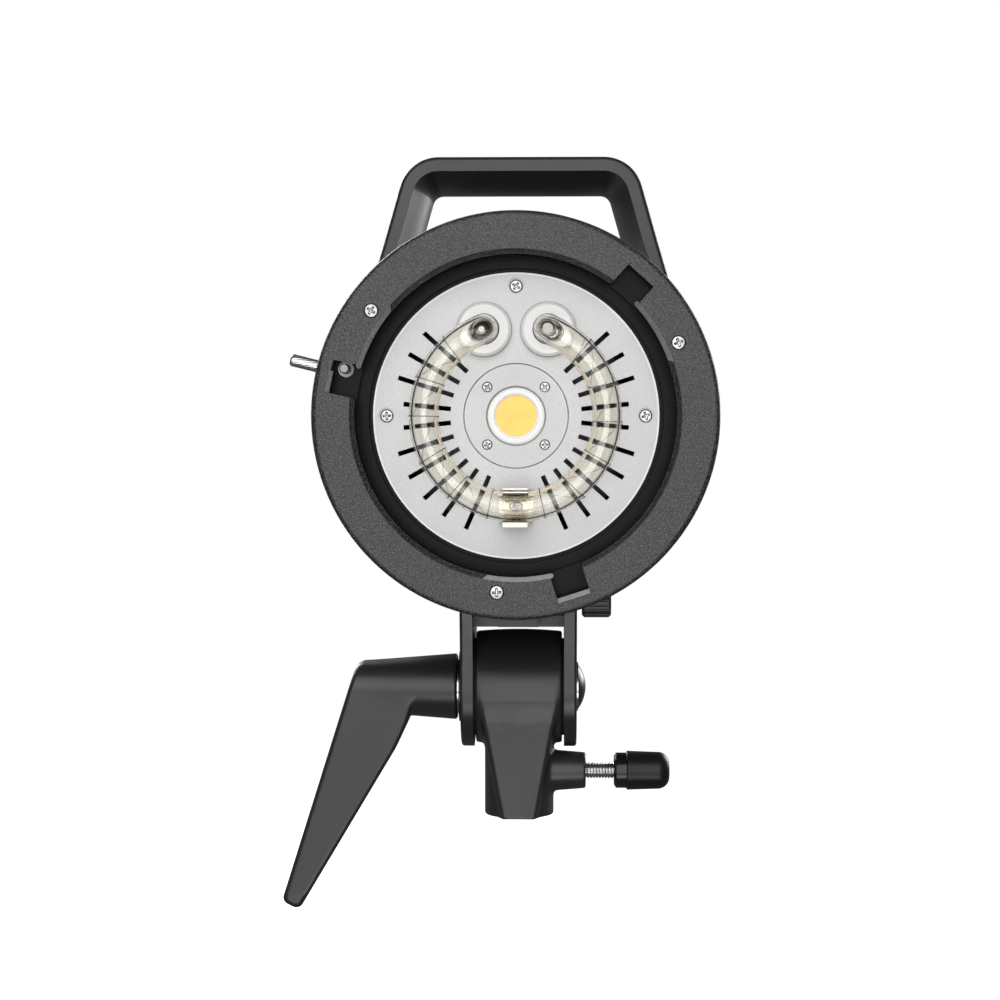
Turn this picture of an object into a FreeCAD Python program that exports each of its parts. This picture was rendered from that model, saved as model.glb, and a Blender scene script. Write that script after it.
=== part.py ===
import FreeCAD, Part
import math
import os

# Compact studio flash head on its tilting stand bracket. Millimetres, +Z up, front towards -Y.
# The origin is the centre of the stand socket's mouth. Places on the lamp are given from its
# own axis, which runs along Y at the height AXIS_Z.

# ---------------------------------------------------------------- driving dimensions
PIVOT_Z = 43.0                 # tilt pivot above the socket's mouth
AXIS_ABOVE_PIVOT = 90.5        # lamp axis above the tilt pivot
AXIS_Z = PIVOT_Z + AXIS_ABOVE_PIVOT

SOCKET_OUTER_R = 11.6
STUD_R = 8.1                   # takes a 16 mm stand stud
STUD_DEPTH = 34.0
BARREL_R = 19.4
BARREL_END_R = 18.7
BARREL_HALF = 14.4
BOSS_Z = 14.7                  # height of the stand clamping screw
BOSS_END_X = 22.4
STAND_SCREW_R = 2.9            # M6 thread
STAND_PITCH = 1.0

FRICTION_R = 16.3              # fibre disc between barrel and ear
EAR_INNER_X = 15.05
EAR_THICK = 4.2
EAR_OUTER_X = EAR_INNER_X + EAR_THICK
EAR_R = 20.0
BOLT_R = 4.0
BOLT_FIT = 0.07
BODY_BOTTOM = 51.0             # underside of the housing below the lamp axis
WEB_THICK = 5.0
WEB_HALF_Y = 26.0
BLOCK_HALF_X = 6.65            # umbrella block
BLOCK_DROP = 68.5              # its lower face below the lamp axis
BLOCK_FRONT = -25.0
BLOCK_BACK = 22.0
RIB_BOTTOM = 63.9              # cross rib that stiffens the yoke under its web
RIB_FRONT = -10.0
RIB_BACK = 12.0
UMBRELLA_R = 4.1               # takes an 8 mm umbrella shaft
UMBRELLA_Y = -15.0             # where the clamping screw meets the shaft
UMBRELLA_Z = AXIS_Z - 61.0
UMBRELLA_SLOPE = 6.5           # the shaft drops towards the front to clear the mount ring
UMBRELLA_SCREW_R = 2.0         # M4 thread

LEVER_START_X = -20.75
LEVER_HUB_END_X = -51.5

BODY_HALF_X = 56.0
BODY_CORNER_R = 36.0
BODY_FRONT = -60.0
BODY_BACK = 112.0
WALL = 2.5
PANEL_FRONT = 108.0
PANEL_BACK = 111.0

RING_FRONT = -80.0
RING_THICK = 3.0
RING_R = 62.0
RING_OPENING_R = 49.0
RING_FACE_OPENING_R = 50.4     # the opening is stepped back a little at the face
RING_STEP = 1.3
NOTCH_R = 56.8
NOTCH_CORNER_R = 1.4
NOTCH_CHAMFER = 1.3
NOTCH_WIDTH = 10.2
NOTCH_ANGLES = (48.0, 168.0, 288.0)
RAMP_SINK = 0.25               # the ramps end this far below the face
RAMP_SPAN = 20.0
RAMP_NOSE = 1.1                # how far a ramp reaches into its notch
RING_SCREW_PCR = 53.8
RING_SCREW_ANGLES = (24.0, 144.0, 264.0)
BASE_R = 60.4
CHANNEL_R = 57.4
CHANNEL_FLOOR = -71.0
THROAT_R = 48.9
PLATE_GAP = 1.3                # round the reflector plate
PLATE_RIM = 1.0                # how far the base stands in front of the plate
PLATE_FACE = -66.0
PLATE_THICK = 1.4
PLATE_R = 44.1

SLOT_WIDTH = 1.45
SLOT_INNER_R = 20.2
SLOT_OUTER_R = 38.2
SLOT_SHORT_R = 34.9
SLOT_STEP = 12.0
SLOT_COUNT = 10                # on each side, from 42 degrees above to 66 degrees below
PLATE_SCREW_PCR = 39.9
PLATE_SCREW_ANGLES = (0.0, 90.0, 180.0)

COVER_R = 16.04
COVER_SCREW_XZ = 8.87
LED_OPENING_R = 8.8
LED_RING_OUTER_R = 8.3
LED_RING_INNER_R = 6.9
PHOSPHOR_R = 6.22

TUBE_RING_R = 27.8
TUBE_R = 4.5
TUBE_BORE_R = 3.5
TUBE_BEND_R = 5.5
TUBE_Y = -79.0
BUSHING_X = 9.85
BUSHING_Z = 26.6
BUSHING_R = 8.3
BUSHING_FRONT = -69.5

LOCK_ANGLE = 164.7
LOCK_PCR = 53.8
LOCK_PIN_R = 1.45
ROD_ANGLE = 166.0
ROD_Y = -68.8
ROD_R = 1.9
ROD_REACH = 71.3
LOCK_TRAVEL = 4.5

HANDLE_FRONT = 32.0
HANDLE_DEPTH = 48.0
HANDLE_TOP = 91.6
HANDLE_RIM = 5.0               # thickness at the front and rear edges
HANDLE_CROWN = 6.2             # extra thickness in the middle of the grip
HANDLE_LEG_SLOPE = 0.284       # outward splay of the legs
HANDLE_TOP_HALF = 39.5         # half width where the leg lines meet the top line
HANDLE_CORNER_R = 14.0
HANDLE_FOOT = 10.0             # the legs end this far above the lamp axis

RUN_FIT = 0.07                 # radial clearance of turning and sliding shafts
FREE_GAP = 0.3

X_AXIS = FreeCAD.Vector(1, 0, 0)
Y_AXIS = FreeCAD.Vector(0, 1, 0)
Z_AXIS = FreeCAD.Vector(0, 0, 1)


# ---------------------------------------------------------------- helpers
def vec(x, y, z):
    return FreeCAD.Vector(x, y, z)


def lamp(x, y, z):
    """A point given from the lamp axis."""
    return vec(x, y, AXIS_Z + z)


def polar(radius, degrees):
    """x and z of a point on the lamp's face, counter-clockwise from +X seen from the front."""
    angle = math.radians(degrees)
    return radius * math.cos(angle), radius * math.sin(angle)


def on_face(radius, degrees, y):
    """x, y and z of such a point, with x and z from the lamp axis."""
    x, z = polar(radius, degrees)
    return x, y, z


def rod_x(radius, x0, x1, y, z):
    return Part.makeCylinder(radius, x1 - x0, vec(x0, y, z), X_AXIS)


def rod_y(radius, y0, y1, x=0.0, z=0.0):
    """A cylinder along the lamp axis, with x and z from that axis."""
    return Part.makeCylinder(radius, y1 - y0, lamp(x, y0, z), Y_AXIS)


def rod_z(radius, z0, z1, x=0.0, y=0.0):
    return Part.makeCylinder(radius, z1 - z0, vec(x, y, z0), Z_AXIS)


def tube_y(outer, inner, y0, y1, x=0.0, z=0.0):
    return rod_y(outer, y0, y1, x, z).cut(rod_y(inner, y0 - 1, y1 + 1, x, z))


def block(x0, x1, y0, y1, z0, z1):
    return Part.makeBox(x1 - x0, y1 - y0, z1 - z0, vec(x0, y0, z0))


def lamp_block(x0, x1, y0, y1, z0, z1):
    return block(x0, x1, y0, y1, AXIS_Z + z0, AXIS_Z + z1)


def prism_x(outline, x0, x1):
    """Extrudes an outline of (y, z) points along X."""
    points = [vec(x0, y, z) for y, z in outline]
    face = Part.Face(Part.makePolygon(points + points[:1]))
    return face.extrude(vec(x1 - x0, 0, 0))


def prism_y(outline, y0, y1):
    """Extrudes an outline of (x, z) points along Y."""
    points = [vec(x, y0, z) for x, z in outline]
    face = Part.Face(Part.makePolygon(points + points[:1]))
    return face.extrude(vec(0, y1 - y0, 0))


def turned_y(profile, x=0.0, z=0.0):
    """Turns a closed profile of (radius, y) points about a line along Y."""
    points = [lamp(x + r, y, z) for r, y in profile]
    face = Part.Face(Part.makePolygon(points + points[:1]))
    return face.revolve(lamp(x, 0, z), Y_AXIS, 360)


def turned_x(profile, y, z):
    """Turns a closed profile of (x, radius) points about a line along X."""
    points = [vec(x, y, z + r) for x, r in profile]
    face = Part.Face(Part.makePolygon(points + points[:1]))
    return face.revolve(vec(0, y, z), X_AXIS, 360)


def spun_y(shape, degrees):
    """Turns a shape about the lamp axis, counter-clockwise seen from the front."""
    turned = shape.copy()
    turned.rotate(lamp(0, 0, 0), Y_AXIS, -degrees)
    return turned


def fused(shapes):
    result = shapes[0]
    for shape in shapes[1:]:
        result = result.fuse(shape)
    return result.removeSplitter()


def rounded_edges(solid, radius, wanted):
    """Fillets the edges for which wanted(edge) is true."""
    edges = [edge for edge in solid.Edges if wanted(edge)]
    return solid.makeFillet(radius, edges)


def corner_arc(centre_x, centre_z, radius, start, y):
    """A quarter arc in a plane of constant y, from start to start + 90 degrees."""
    ends = []
    for degrees in (start, start + 45, start + 90):
        x, z = polar(radius, degrees)
        ends.append(lamp(centre_x + x, y, centre_z + z))
    return Part.Arc(*ends).toShape()


def rounded_slab(half_x, half_z, radius, y0, y1):
    """A block along Y with four rounded corners, centred on the lamp axis."""
    cx = half_x - radius
    cz = half_z - radius
    arcs = [corner_arc(sx * cx, sz * cz, radius, start, y0)
            for sx, sz, start in ((1, 1, 0), (-1, 1, 90), (-1, -1, 180), (1, -1, 270))]
    edges = []
    for index, arc in enumerate(arcs):
        following = arcs[(index + 1) % 4]
        edges.append(arc)
        edges.append(Part.makeLine(arc.Vertexes[-1].Point, following.Vertexes[0].Point))
    face = Part.Face(Part.Wire(edges))
    return face.extrude(vec(0, y1 - y0, 0))


def pan_screw(head_r, head_h, shank_r, length, x, y, z):
    """A pan-head screw pointing along +Y; y is where the head rests."""
    profile = [(0, y - head_h), (head_r * 0.55, y - head_h), (head_r * 0.9, y - head_h * 0.62),
               (head_r, y - head_h * 0.2), (head_r, y), (shank_r, y), (shank_r, y + length),
               (0, y + length)]
    screw = turned_y(profile, x, z)
    slot = head_r * 0.62
    width = head_r * 0.14
    depth = head_h * 0.55
    cross = fused([
        lamp_block(x - slot, x + slot, y - head_h - 1, y - head_h + depth, z - width, z + width),
        lamp_block(x - width, x + width, y - head_h - 1, y - head_h + depth, z - slot, z + slot)])
    return screw.cut(cross)


def save(node, *shapes):
    solids = []
    for shape in shapes:
        solids.extend(shape.Solids)
    for solid in solids:
        if not solid.isValid() or solid.Volume <= 0:
            print("bad solid in", node, solid.isValid(), solid.Volume)
    whole = solids[0] if len(solids) == 1 else Part.makeCompound(solids)
    whole.exportStep("parts/" + node + ".step")
    box = whole.BoundBox
    print("%-24s %2d solids %10.1f mm3  x %.1f %.1f  y %.1f %.1f  z %.1f %.1f" % (
        node, len(solids), sum(s.Volume for s in solids),
        box.XMin, box.XMax, box.YMin, box.YMax, box.ZMin, box.ZMax))


# ---------------------------------------------------------------- stand receiver
def barrel():
    top = Part.Arc(vec(-BARREL_HALF, 0, PIVOT_Z + BARREL_END_R), vec(0, 0, PIVOT_Z + BARREL_R),
                   vec(BARREL_HALF, 0, PIVOT_Z + BARREL_END_R)).toShape()
    rest = Part.makePolygon([vec(BARREL_HALF, 0, PIVOT_Z + BARREL_END_R), vec(BARREL_HALF, 0, PIVOT_Z),
                             vec(-BARREL_HALF, 0, PIVOT_Z), vec(-BARREL_HALF, 0, PIVOT_Z + BARREL_END_R)])
    face = Part.Face(Part.Wire([top] + rest.Edges))
    return face.revolve(vec(0, 0, PIVOT_Z), X_AXIS, 360)


def wedge_rib(side):
    """A tapering rib that runs tangentially off the barrel down to the mouth; side is -1 at the front."""
    foot_y, shoulder_y, shoulder_z = 14.3, 19.2, PIVOT_Z - 2
    profile = prism_x([(0, 0), (side * foot_y, 0), (side * shoulder_y, shoulder_z), (0, shoulder_z)], -14, 14)
    front = prism_y([(-6.0, 0), (6.0, 0), (13.5, shoulder_z), (-13.5, shoulder_z)], -20, 20)
    rib = profile.common(front)
    seam = prism_x([(side * (foot_y - 0.15), -1), (side * (foot_y + 2), -1),
                    (side * (shoulder_y + 2), shoulder_z), (side * (shoulder_y - 0.15), shoulder_z)],
                   -0.12, 0.12)
    outer = [edge for edge in rib.Edges
             if abs(edge.CenterOfMass.y) > 14 and abs(edge.CenterOfMass.x) > 5]
    return rib.makeFillet(1.6, outer).cut(seam)


def tilt_block():
    socket = rod_z(SOCKET_OUTER_R, 0, PIVOT_Z)
    socket = rounded_edges(socket, 0.7, lambda e: e.BoundBox.ZMax < 0.1 and e.Length > 60)
    boss = Part.makeCone(7.2, 6.0, BOSS_END_X - 8, vec(8, 0, BOSS_Z), X_AXIS)
    boss = rounded_edges(boss, 0.5, lambda e: e.BoundBox.XMin > BOSS_END_X - 0.1)
    body = fused([barrel(), socket, wedge_rib(-1), wedge_rib(1), boss])
    bore = rod_z(STUD_R, -1, STUD_DEPTH)
    pivot_bore = rod_x(BOLT_R + BOLT_FIT, -20, 20, 0, PIVOT_Z)
    insert_hole = rod_x(4.2, STUD_R - 2, BOSS_END_X + 1, 0, BOSS_Z)
    recesses = [rod_x(FRICTION_R + 0.1, side * BARREL_HALF - 0.8, side * BARREL_HALF + 0.8, 0, PIVOT_Z)
                for side in (-1, 1)]
    for tool in [bore, pivot_bore, insert_hole] + recesses:
        body = body.cut(tool)
    return body


def boss_insert():
    sleeve = rod_x(4.2, STUD_R + 0.6, BOSS_END_X - 0.2, 0, BOSS_Z)
    return sleeve.cut(rod_x(STAND_SCREW_R + RUN_FIT, 0, 30, 0, BOSS_Z))


def friction_washers():
    """A fibre disc in each end of the barrel, standing a little proud towards the ear."""
    washers = []
    for side in (-1, 1):
        inner, outer = sorted((side * (BARREL_HALF - 0.8), side * (EAR_INNER_X - 0.05)))
        disc = rod_x(FRICTION_R, inner, outer, 0, PIVOT_Z)
        washers.append(disc.cut(rod_x(BOLT_R + 0.5, -20, 20, 0, PIVOT_Z)))
    return washers


# ---------------------------------------------------------------- clamping screws
def threaded_rod(radius, pitch, x0, x1, y, z):
    """A screw shaft along X with V-shaped ridges one pitch apart."""
    depth = pitch * 0.45
    profile = [(x0, 0), (x0, radius - depth)]
    x = x0
    while x + pitch <= x1:
        profile.append((x + pitch * 0.42, radius))
        profile.append((x + pitch * 0.58, radius))
        profile.append((x + pitch, radius - depth))
        x += pitch
    profile.append((x1, radius - depth))
    profile.append((x1, 0))
    return turned_x(profile, y, z)


STAND_COLLAR_X = 31.9
STAND_CAP_X = 36.1
STAND_KNOB_END = 50.6


def stand_screw():
    return threaded_rod(STAND_SCREW_R, STAND_PITCH, STUD_R + 0.2, STAND_CAP_X + 8, 0, BOSS_Z)


def stand_knob_collar():
    profile = [(STAND_COLLAR_X, 0), (STAND_COLLAR_X, 5.3), (STAND_COLLAR_X + 0.5, 6.0),
               (STAND_CAP_X, 6.0), (STAND_CAP_X, 4.6), (STAND_CAP_X + 11, 4.3), (STAND_CAP_X + 11, 0)]
    collar = turned_x(profile, 0, BOSS_Z)
    return collar.cut(rod_x(STAND_SCREW_R + RUN_FIT, 20, STAND_CAP_X + 8.2, 0, BOSS_Z))


def stand_knob_cap():
    profile = [(STAND_CAP_X, 0), (STAND_CAP_X, 6.35), (STAND_CAP_X + 0.5, 6.6), (46.5, 6.25),
               (49.0, 5.7), (50.2, 4.4), (STAND_KNOB_END, 2.6), (STAND_KNOB_END, 0)]
    cap = turned_x(profile, 0, BOSS_Z)
    core = turned_x([(30, 0), (30, 4.6), (STAND_CAP_X, 4.6), (STAND_CAP_X + 11, 4.3), (STAND_CAP_X + 11, 0)],
                    0, BOSS_Z)
    return cap.cut(core)


UMBRELLA_KNOB_X = 20.9
UMBRELLA_KNOB_END = 30.5


def umbrella_screw():
    return threaded_rod(UMBRELLA_SCREW_R, 0.7, UMBRELLA_R + 0.4, UMBRELLA_KNOB_END - 3,
                        UMBRELLA_Y, UMBRELLA_Z)


def umbrella_knob():
    radius, rib_count = 5.0, 18
    profile = [(UMBRELLA_KNOB_X, 0), (UMBRELLA_KNOB_X, radius - 0.8), (UMBRELLA_KNOB_X + 0.8, radius),
               (UMBRELLA_KNOB_END - 0.8, radius), (UMBRELLA_KNOB_END, radius - 0.8), (UMBRELLA_KNOB_END, 0)]
    knob = turned_x(profile, UMBRELLA_Y, UMBRELLA_Z)
    for index in range(rib_count):
        angle = 2 * math.pi * (index + 0.5) / rib_count
        y = UMBRELLA_Y + (radius + 0.15) * math.cos(angle)
        z = UMBRELLA_Z + (radius + 0.15) * math.sin(angle)
        knob = knob.cut(rod_x(0.42, UMBRELLA_KNOB_X - 1, UMBRELLA_KNOB_END + 1, y, z))
    return knob.cut(rod_x(UMBRELLA_SCREW_R + RUN_FIT, 10, UMBRELLA_KNOB_END - 2.8, UMBRELLA_Y, UMBRELLA_Z))


# ---------------------------------------------------------------- yoke, pivot and lever
def umbrella_bore():
    slope = math.radians(UMBRELLA_SLOPE)
    forward = vec(0, -math.cos(slope), -math.sin(slope))
    start = vec(0, UMBRELLA_Y, UMBRELLA_Z) - forward * 60
    return Part.makeCylinder(UMBRELLA_R, 100, start, forward)


def yoke_screw_places():
    return [(x, y) for x in (-10.9, 10.9) for y in (-22.0, 22.0)]


def yoke():
    web_top = AXIS_Z - BODY_BOTTOM
    web_bottom = web_top - WEB_THICK
    ear_outline = [(-EAR_R, PIVOT_Z), (EAR_R, PIVOT_Z), (EAR_R, PIVOT_Z + 9), (WEB_HALF_Y, web_bottom - 4),
                   (WEB_HALF_Y, web_top), (-WEB_HALF_Y, web_top), (-WEB_HALF_Y, web_bottom - 4),
                   (-EAR_R, PIVOT_Z + 9)]
    parts = []
    for x0, x1 in ((-EAR_OUTER_X, -EAR_INNER_X), (EAR_INNER_X, EAR_OUTER_X)):
        ear = prism_x(ear_outline, x0, x1).fuse(rod_x(EAR_R, x0, x1, 0, PIVOT_Z)).removeSplitter()
        parts.append(ear)
    parts.append(block(-EAR_OUTER_X, EAR_OUTER_X, -WEB_HALF_Y, WEB_HALF_Y, web_bottom, web_top))
    parts.append(block(-BLOCK_HALF_X, BLOCK_HALF_X, BLOCK_FRONT, BLOCK_BACK, AXIS_Z - BLOCK_DROP, web_bottom))
    parts.append(block(-EAR_OUTER_X, EAR_OUTER_X, RIB_FRONT, RIB_BACK, RIB_BOTTOM, web_bottom))
    parts.append(rod_x(4.5, BLOCK_HALF_X - 1, EAR_OUTER_X, UMBRELLA_Y, UMBRELLA_Z))
    body = fused(parts)
    body = rounded_edges(body, 1.0, is_outer_ear_edge)
    body = body.cut(umbrella_bore())
    body = body.cut(rod_x(UMBRELLA_SCREW_R + RUN_FIT, 0, 30, UMBRELLA_Y, UMBRELLA_Z))
    body = body.cut(rod_x(BOLT_R + 0.05, -30, 0, 0, PIVOT_Z))
    body = body.cut(block(0, 30, -BOLT_R - 0.1, BOLT_R + 0.1, PIVOT_Z - BOLT_R - 0.1, PIVOT_Z + BOLT_R + 0.1))
    for x, y in yoke_screw_places():
        body = body.cut(rod_z(1.7, web_bottom - 1, web_top + 1, x, y))
    return body


def is_outer_ear_edge(edge):
    """The outline of each ear on its outer face, below the web."""
    box = edge.BoundBox
    on_outer_face = abs(abs(edge.CenterOfMass.x) - EAR_OUTER_X) < 0.01 and box.XLength < 0.01
    return on_outer_face and edge.CenterOfMass.z < AXIS_Z - BODY_BOTTOM - 0.5 and box.ZLength > 0.5 \
        and not (abs(edge.CenterOfMass.y - UMBRELLA_Y) < 6 and abs(edge.CenterOfMass.z - UMBRELLA_Z) < 6)


def yoke_screws():
    web_bottom = AXIS_Z - BODY_BOTTOM - WEB_THICK
    screws = []
    for x, y in yoke_screw_places():
        head = rod_z(3.0, web_bottom - 2.2, web_bottom, x, y)
        head = rounded_edges(head, 0.5, lambda e: e.BoundBox.ZMax < web_bottom - 1)
        shank = rod_z(1.6, web_bottom, web_bottom + WEB_THICK + WALL + 3, x, y)
        hexagon = [(x + 1.6 * math.cos(math.radians(60 * k)), y + 1.6 * math.sin(math.radians(60 * k)))
                   for k in range(6)]
        points = [vec(px, py, web_bottom - 3) for px, py in hexagon]
        key = Part.Face(Part.makePolygon(points + points[:1])).extrude(vec(0, 0, 2.2))
        screws.append(head.fuse(shank).removeSplitter().cut(key))
    return screws


def pivot_bolt():
    head_x = EAR_OUTER_X + 0.6
    head_r, head_h = 7.5, 2.5
    ball_r = (head_r ** 2 + head_h ** 2) / (2 * head_h)
    ball = Part.makeSphere(ball_r, vec(head_x + head_h - ball_r, 0, PIVOT_Z))
    dome = ball.common(block(head_x, head_x + 9, -9, 9, PIVOT_Z - 9, PIVOT_Z + 9))
    neck = block(EAR_INNER_X + 0.2, head_x, -BOLT_R, BOLT_R, PIVOT_Z - BOLT_R, PIVOT_Z + BOLT_R)
    shaft = rod_x(BOLT_R, -46, head_x, 0, PIVOT_Z)
    return fused([dome, neck, shaft])


def steel_washers():
    right = rod_x(8.2, EAR_OUTER_X, EAR_OUTER_X + 0.6, 0, PIVOT_Z)
    right = right.cut(block(0, 30, -BOLT_R - 0.1, BOLT_R + 0.1, PIVOT_Z - BOLT_R - 0.1, PIVOT_Z + BOLT_R + 0.1))
    left = rod_x(9.0, -EAR_OUTER_X - 1.4, -EAR_OUTER_X - 0.9, 0, PIVOT_Z)
    left = left.cut(rod_x(BOLT_R + 0.1, -30, 0, 0, PIVOT_Z))
    return right, left


def wear_washer():
    disc = rod_x(11.75, -EAR_OUTER_X - 0.9, -EAR_OUTER_X, 0, PIVOT_Z)
    return disc.cut(rod_x(BOLT_R + 0.1, -30, 0, 0, PIVOT_Z))


def lever_section():
    """The blade seen along X: round over the hub, then tapering to a thinner tip."""
    crown, tip, tip_end = 8.8, 4.9, 3.3
    x = -90
    arc = Part.Arc(vec(x, crown, PIVOT_Z), vec(x, 0, PIVOT_Z + crown), vec(x, -crown, PIVOT_Z)).toShape()
    sides = Part.makePolygon([vec(x, -crown, PIVOT_Z), vec(x, -tip, PIVOT_Z - 70), vec(x, -tip_end, PIVOT_Z - 77),
                              vec(x, tip_end, PIVOT_Z - 77), vec(x, tip, PIVOT_Z - 70), vec(x, crown, PIVOT_Z)])
    return Part.Face(Part.Wire([arc] + sides.Edges)).extrude(vec(60, 0, 0))


def tilt_lever():
    hub = turned_x([(LEVER_START_X, 0), (LEVER_START_X, 10.6), (LEVER_START_X - 0.5, 11.1),
                    (LEVER_HUB_END_X, 8.6), (LEVER_HUB_END_X - 1.5, 7.0), (LEVER_HUB_END_X - 1.5, 0)],
                   0, PIVOT_Z)
    blade = prism_y([(-36.0, PIVOT_Z + 9.6), (-50.8, PIVOT_Z + 8.3), (-53.5, PIVOT_Z + 6.8),
                     (-55.9, PIVOT_Z + 2.9), (-79.6, PIVOT_Z - 68.3), (-79.3, PIVOT_Z - 73.2),
                     (-77.4, PIVOT_Z - 75.2), (-74.3, PIVOT_Z - 75.3), (-72.3, PIVOT_Z - 72.3),
                     (-41.5, PIVOT_Z - 20.5), (-37.2, PIVOT_Z - 11.8)], -8, 8)
    blade = blade.common(lever_section())
    blade = rounded_edges(blade, 1.1, lambda e: abs(e.CenterOfMass.y) > 4.0 and e.CenterOfMass.x < -37)
    lever = hub.fuse(blade).removeSplitter()
    recess = rod_x(6.0, LEVER_START_X - 26, 0, 0, PIVOT_Z)
    return lever.cut(recess)


def lever_insert():
    sleeve = rod_x(6.0, LEVER_START_X - 26, LEVER_START_X - 0.05, 0, PIVOT_Z)
    return sleeve.cut(rod_x(BOLT_R + BOLT_FIT, LEVER_START_X - 25.6, 0, 0, PIVOT_Z))


# ---------------------------------------------------------------- housing
def housing_outer(grow=0.0):
    return rounded_slab(BODY_HALF_X + grow, BODY_BOTTOM + grow, BODY_CORNER_R + grow, BODY_FRONT, BODY_BACK)


def housing_shell():
    outer = housing_outer()
    outer = rounded_edges(outer, 2.5, lambda e: e.BoundBox.YMin > BODY_BACK - 0.1)
    inner = rounded_slab(BODY_HALF_X - WALL, BODY_BOTTOM - WALL, BODY_CORNER_R - WALL,
                         BODY_FRONT + 3, BODY_BACK + 1)
    shell = outer.cut(inner)
    shell = shell.cut(rod_y(46, BODY_FRONT - 1, BODY_FRONT + 5))
    ledge = rounded_slab(BODY_HALF_X - WALL, BODY_BOTTOM - WALL, BODY_CORNER_R - WALL,
                         PANEL_FRONT - 2, PANEL_FRONT)
    ledge = ledge.cut(rounded_slab(BODY_HALF_X - WALL - 2.0, BODY_BOTTOM - WALL - 2.0,
                                   BODY_CORNER_R - WALL - 2.0, PANEL_FRONT - 3, PANEL_FRONT + 1))
    return shell.fuse(ledge).removeSplitter()


def vents(y_first, y_last, z0, z1):
    """Upright cooling slots through both side walls."""
    slots = []
    y = y_first
    while y <= y_last:
        for x0, x1 in ((-60, -44), (44, 60)):
            slots.append(lamp_block(x0, x1, y, y + 2.4, z0, z1))
        y += 6.0
    return slots


def half_housing(upper):
    seam = 0.15
    keep = lamp_block(-70, 70, -80, 130, seam, 70) if upper else lamp_block(-70, 70, -80, 130, -70, -seam)
    lip = 0.6
    shell = housing_shell().common(keep)
    step = rounded_slab(BODY_HALF_X + 1, lip, 0.5, BODY_FRONT - 1, BODY_BACK + 1)
    step = step.cut(rounded_slab(BODY_HALF_X - 0.5, 2, 0.5, BODY_FRONT + 0.5, BODY_BACK - 3))
    shell = shell.cut(step)
    slots = vents(-50.0, 10.0, 8, 30) if upper else vents(-50.0, 88.0, -32, -8)
    return shell.cut(Part.makeCompound(slots))


def bottom_screw_places():
    return [(x, y) for x in (-14.0, 14.0) for y in (-46.0, 84.0)]


def upper_housing():
    shell = half_housing(True)
    for x, y, z in handle_screw_places():
        side = math.copysign(1, x)
        shell = shell.cut(rod_x(2.1, *sorted((side * 45.0, side * 65.0)), y, z))
    return shell


def lower_housing():
    shell = half_housing(False)
    floor_z = -BODY_BOTTOM
    for x, y in yoke_screw_places() + bottom_screw_places():
        post = rod_z(3.4, AXIS_Z + floor_z + 1, AXIS_Z + floor_z + WALL + 4.5, x, y)
        shell = shell.fuse(post)
    shell = shell.removeSplitter()
    for x, y in yoke_screw_places():
        shell = shell.cut(rod_z(1.65, AXIS_Z + floor_z - 1, AXIS_Z + floor_z + 8, x, y))
    for x, y in bottom_screw_places():
        shell = shell.cut(rod_z(1.3, AXIS_Z + floor_z - 1, AXIS_Z + floor_z + 8, x, y))
        shell = shell.cut(rod_z(2.9, AXIS_Z + floor_z - 1, AXIS_Z + floor_z + 1.8, x, y))
    return shell


def panel_screw_places():
    return [(x, z) for x in (-38.0, 38.0) for z in (-33.0, 33.0)]


def case_screws():
    """Equal small screws: four in the underside, four in the rear panel."""
    screws = []
    floor_z = AXIS_Z - BODY_BOTTOM
    for x, y in bottom_screw_places():
        screw = pan_screw(2.6, 1.7, 1.25, 6, 0, 0, 0)
        screw.translate(vec(0, 0, -AXIS_Z))
        screw.rotate(vec(0, 0, 0), X_AXIS, 90)
        screw.translate(vec(x, y, floor_z + 1.8))
        screws.append(screw)
    for x, z in panel_screw_places():
        screw = pan_screw(2.6, 1.2, 1.25, 5, 0, 0, 0)
        screw.translate(vec(0, 0, -AXIS_Z))
        screw.rotate(vec(0, 0, 0), Z_AXIS, 180)
        screw.translate(lamp(x, PANEL_BACK, z))
        screws.append(screw)
    return screws


# ---------------------------------------------------------------- handle
def handle_outline(inset, y, foot):
    """The arch seen from the front, inset from its outer line, closed below at the foot height."""
    slope = HANDLE_LEG_SLOPE
    lean = math.atan(slope)
    top = HANDLE_TOP - inset
    half_top = HANDLE_TOP_HALF + inset * slope - inset / math.cos(lean)
    radius = max(HANDLE_CORNER_R - inset, 4.0)
    # centre of the corner arc: one radius below the top line and one radius inside the leg line
    centre_z = top - radius
    centre_x = half_top + radius * slope - radius / math.cos(lean)
    leg_x = centre_x + radius * math.cos(lean)
    leg_z = centre_z + radius * math.sin(lean)
    mid = math.radians((90 + math.degrees(lean)) / 2)
    mid_x = centre_x + radius * math.cos(mid)
    mid_z = centre_z + radius * math.sin(mid)
    foot_x = leg_x + (leg_z - foot) * slope
    edges = []
    edges.append(Part.makeLine(lamp(-centre_x, y, top), lamp(centre_x, y, top)))
    edges.append(Part.Arc(lamp(centre_x, y, top), lamp(mid_x, y, mid_z), lamp(leg_x, y, leg_z)).toShape())
    edges.append(Part.makeLine(lamp(leg_x, y, leg_z), lamp(foot_x, y, foot)))
    edges.append(Part.makeLine(lamp(foot_x, y, foot), lamp(-foot_x, y, foot)))
    edges.append(Part.makeLine(lamp(-foot_x, y, foot), lamp(-leg_x, y, leg_z)))
    edges.append(Part.Arc(lamp(-leg_x, y, leg_z), lamp(-mid_x, y, mid_z), lamp(-centre_x, y, top)).toShape())
    return Part.Wire(edges)


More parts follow.
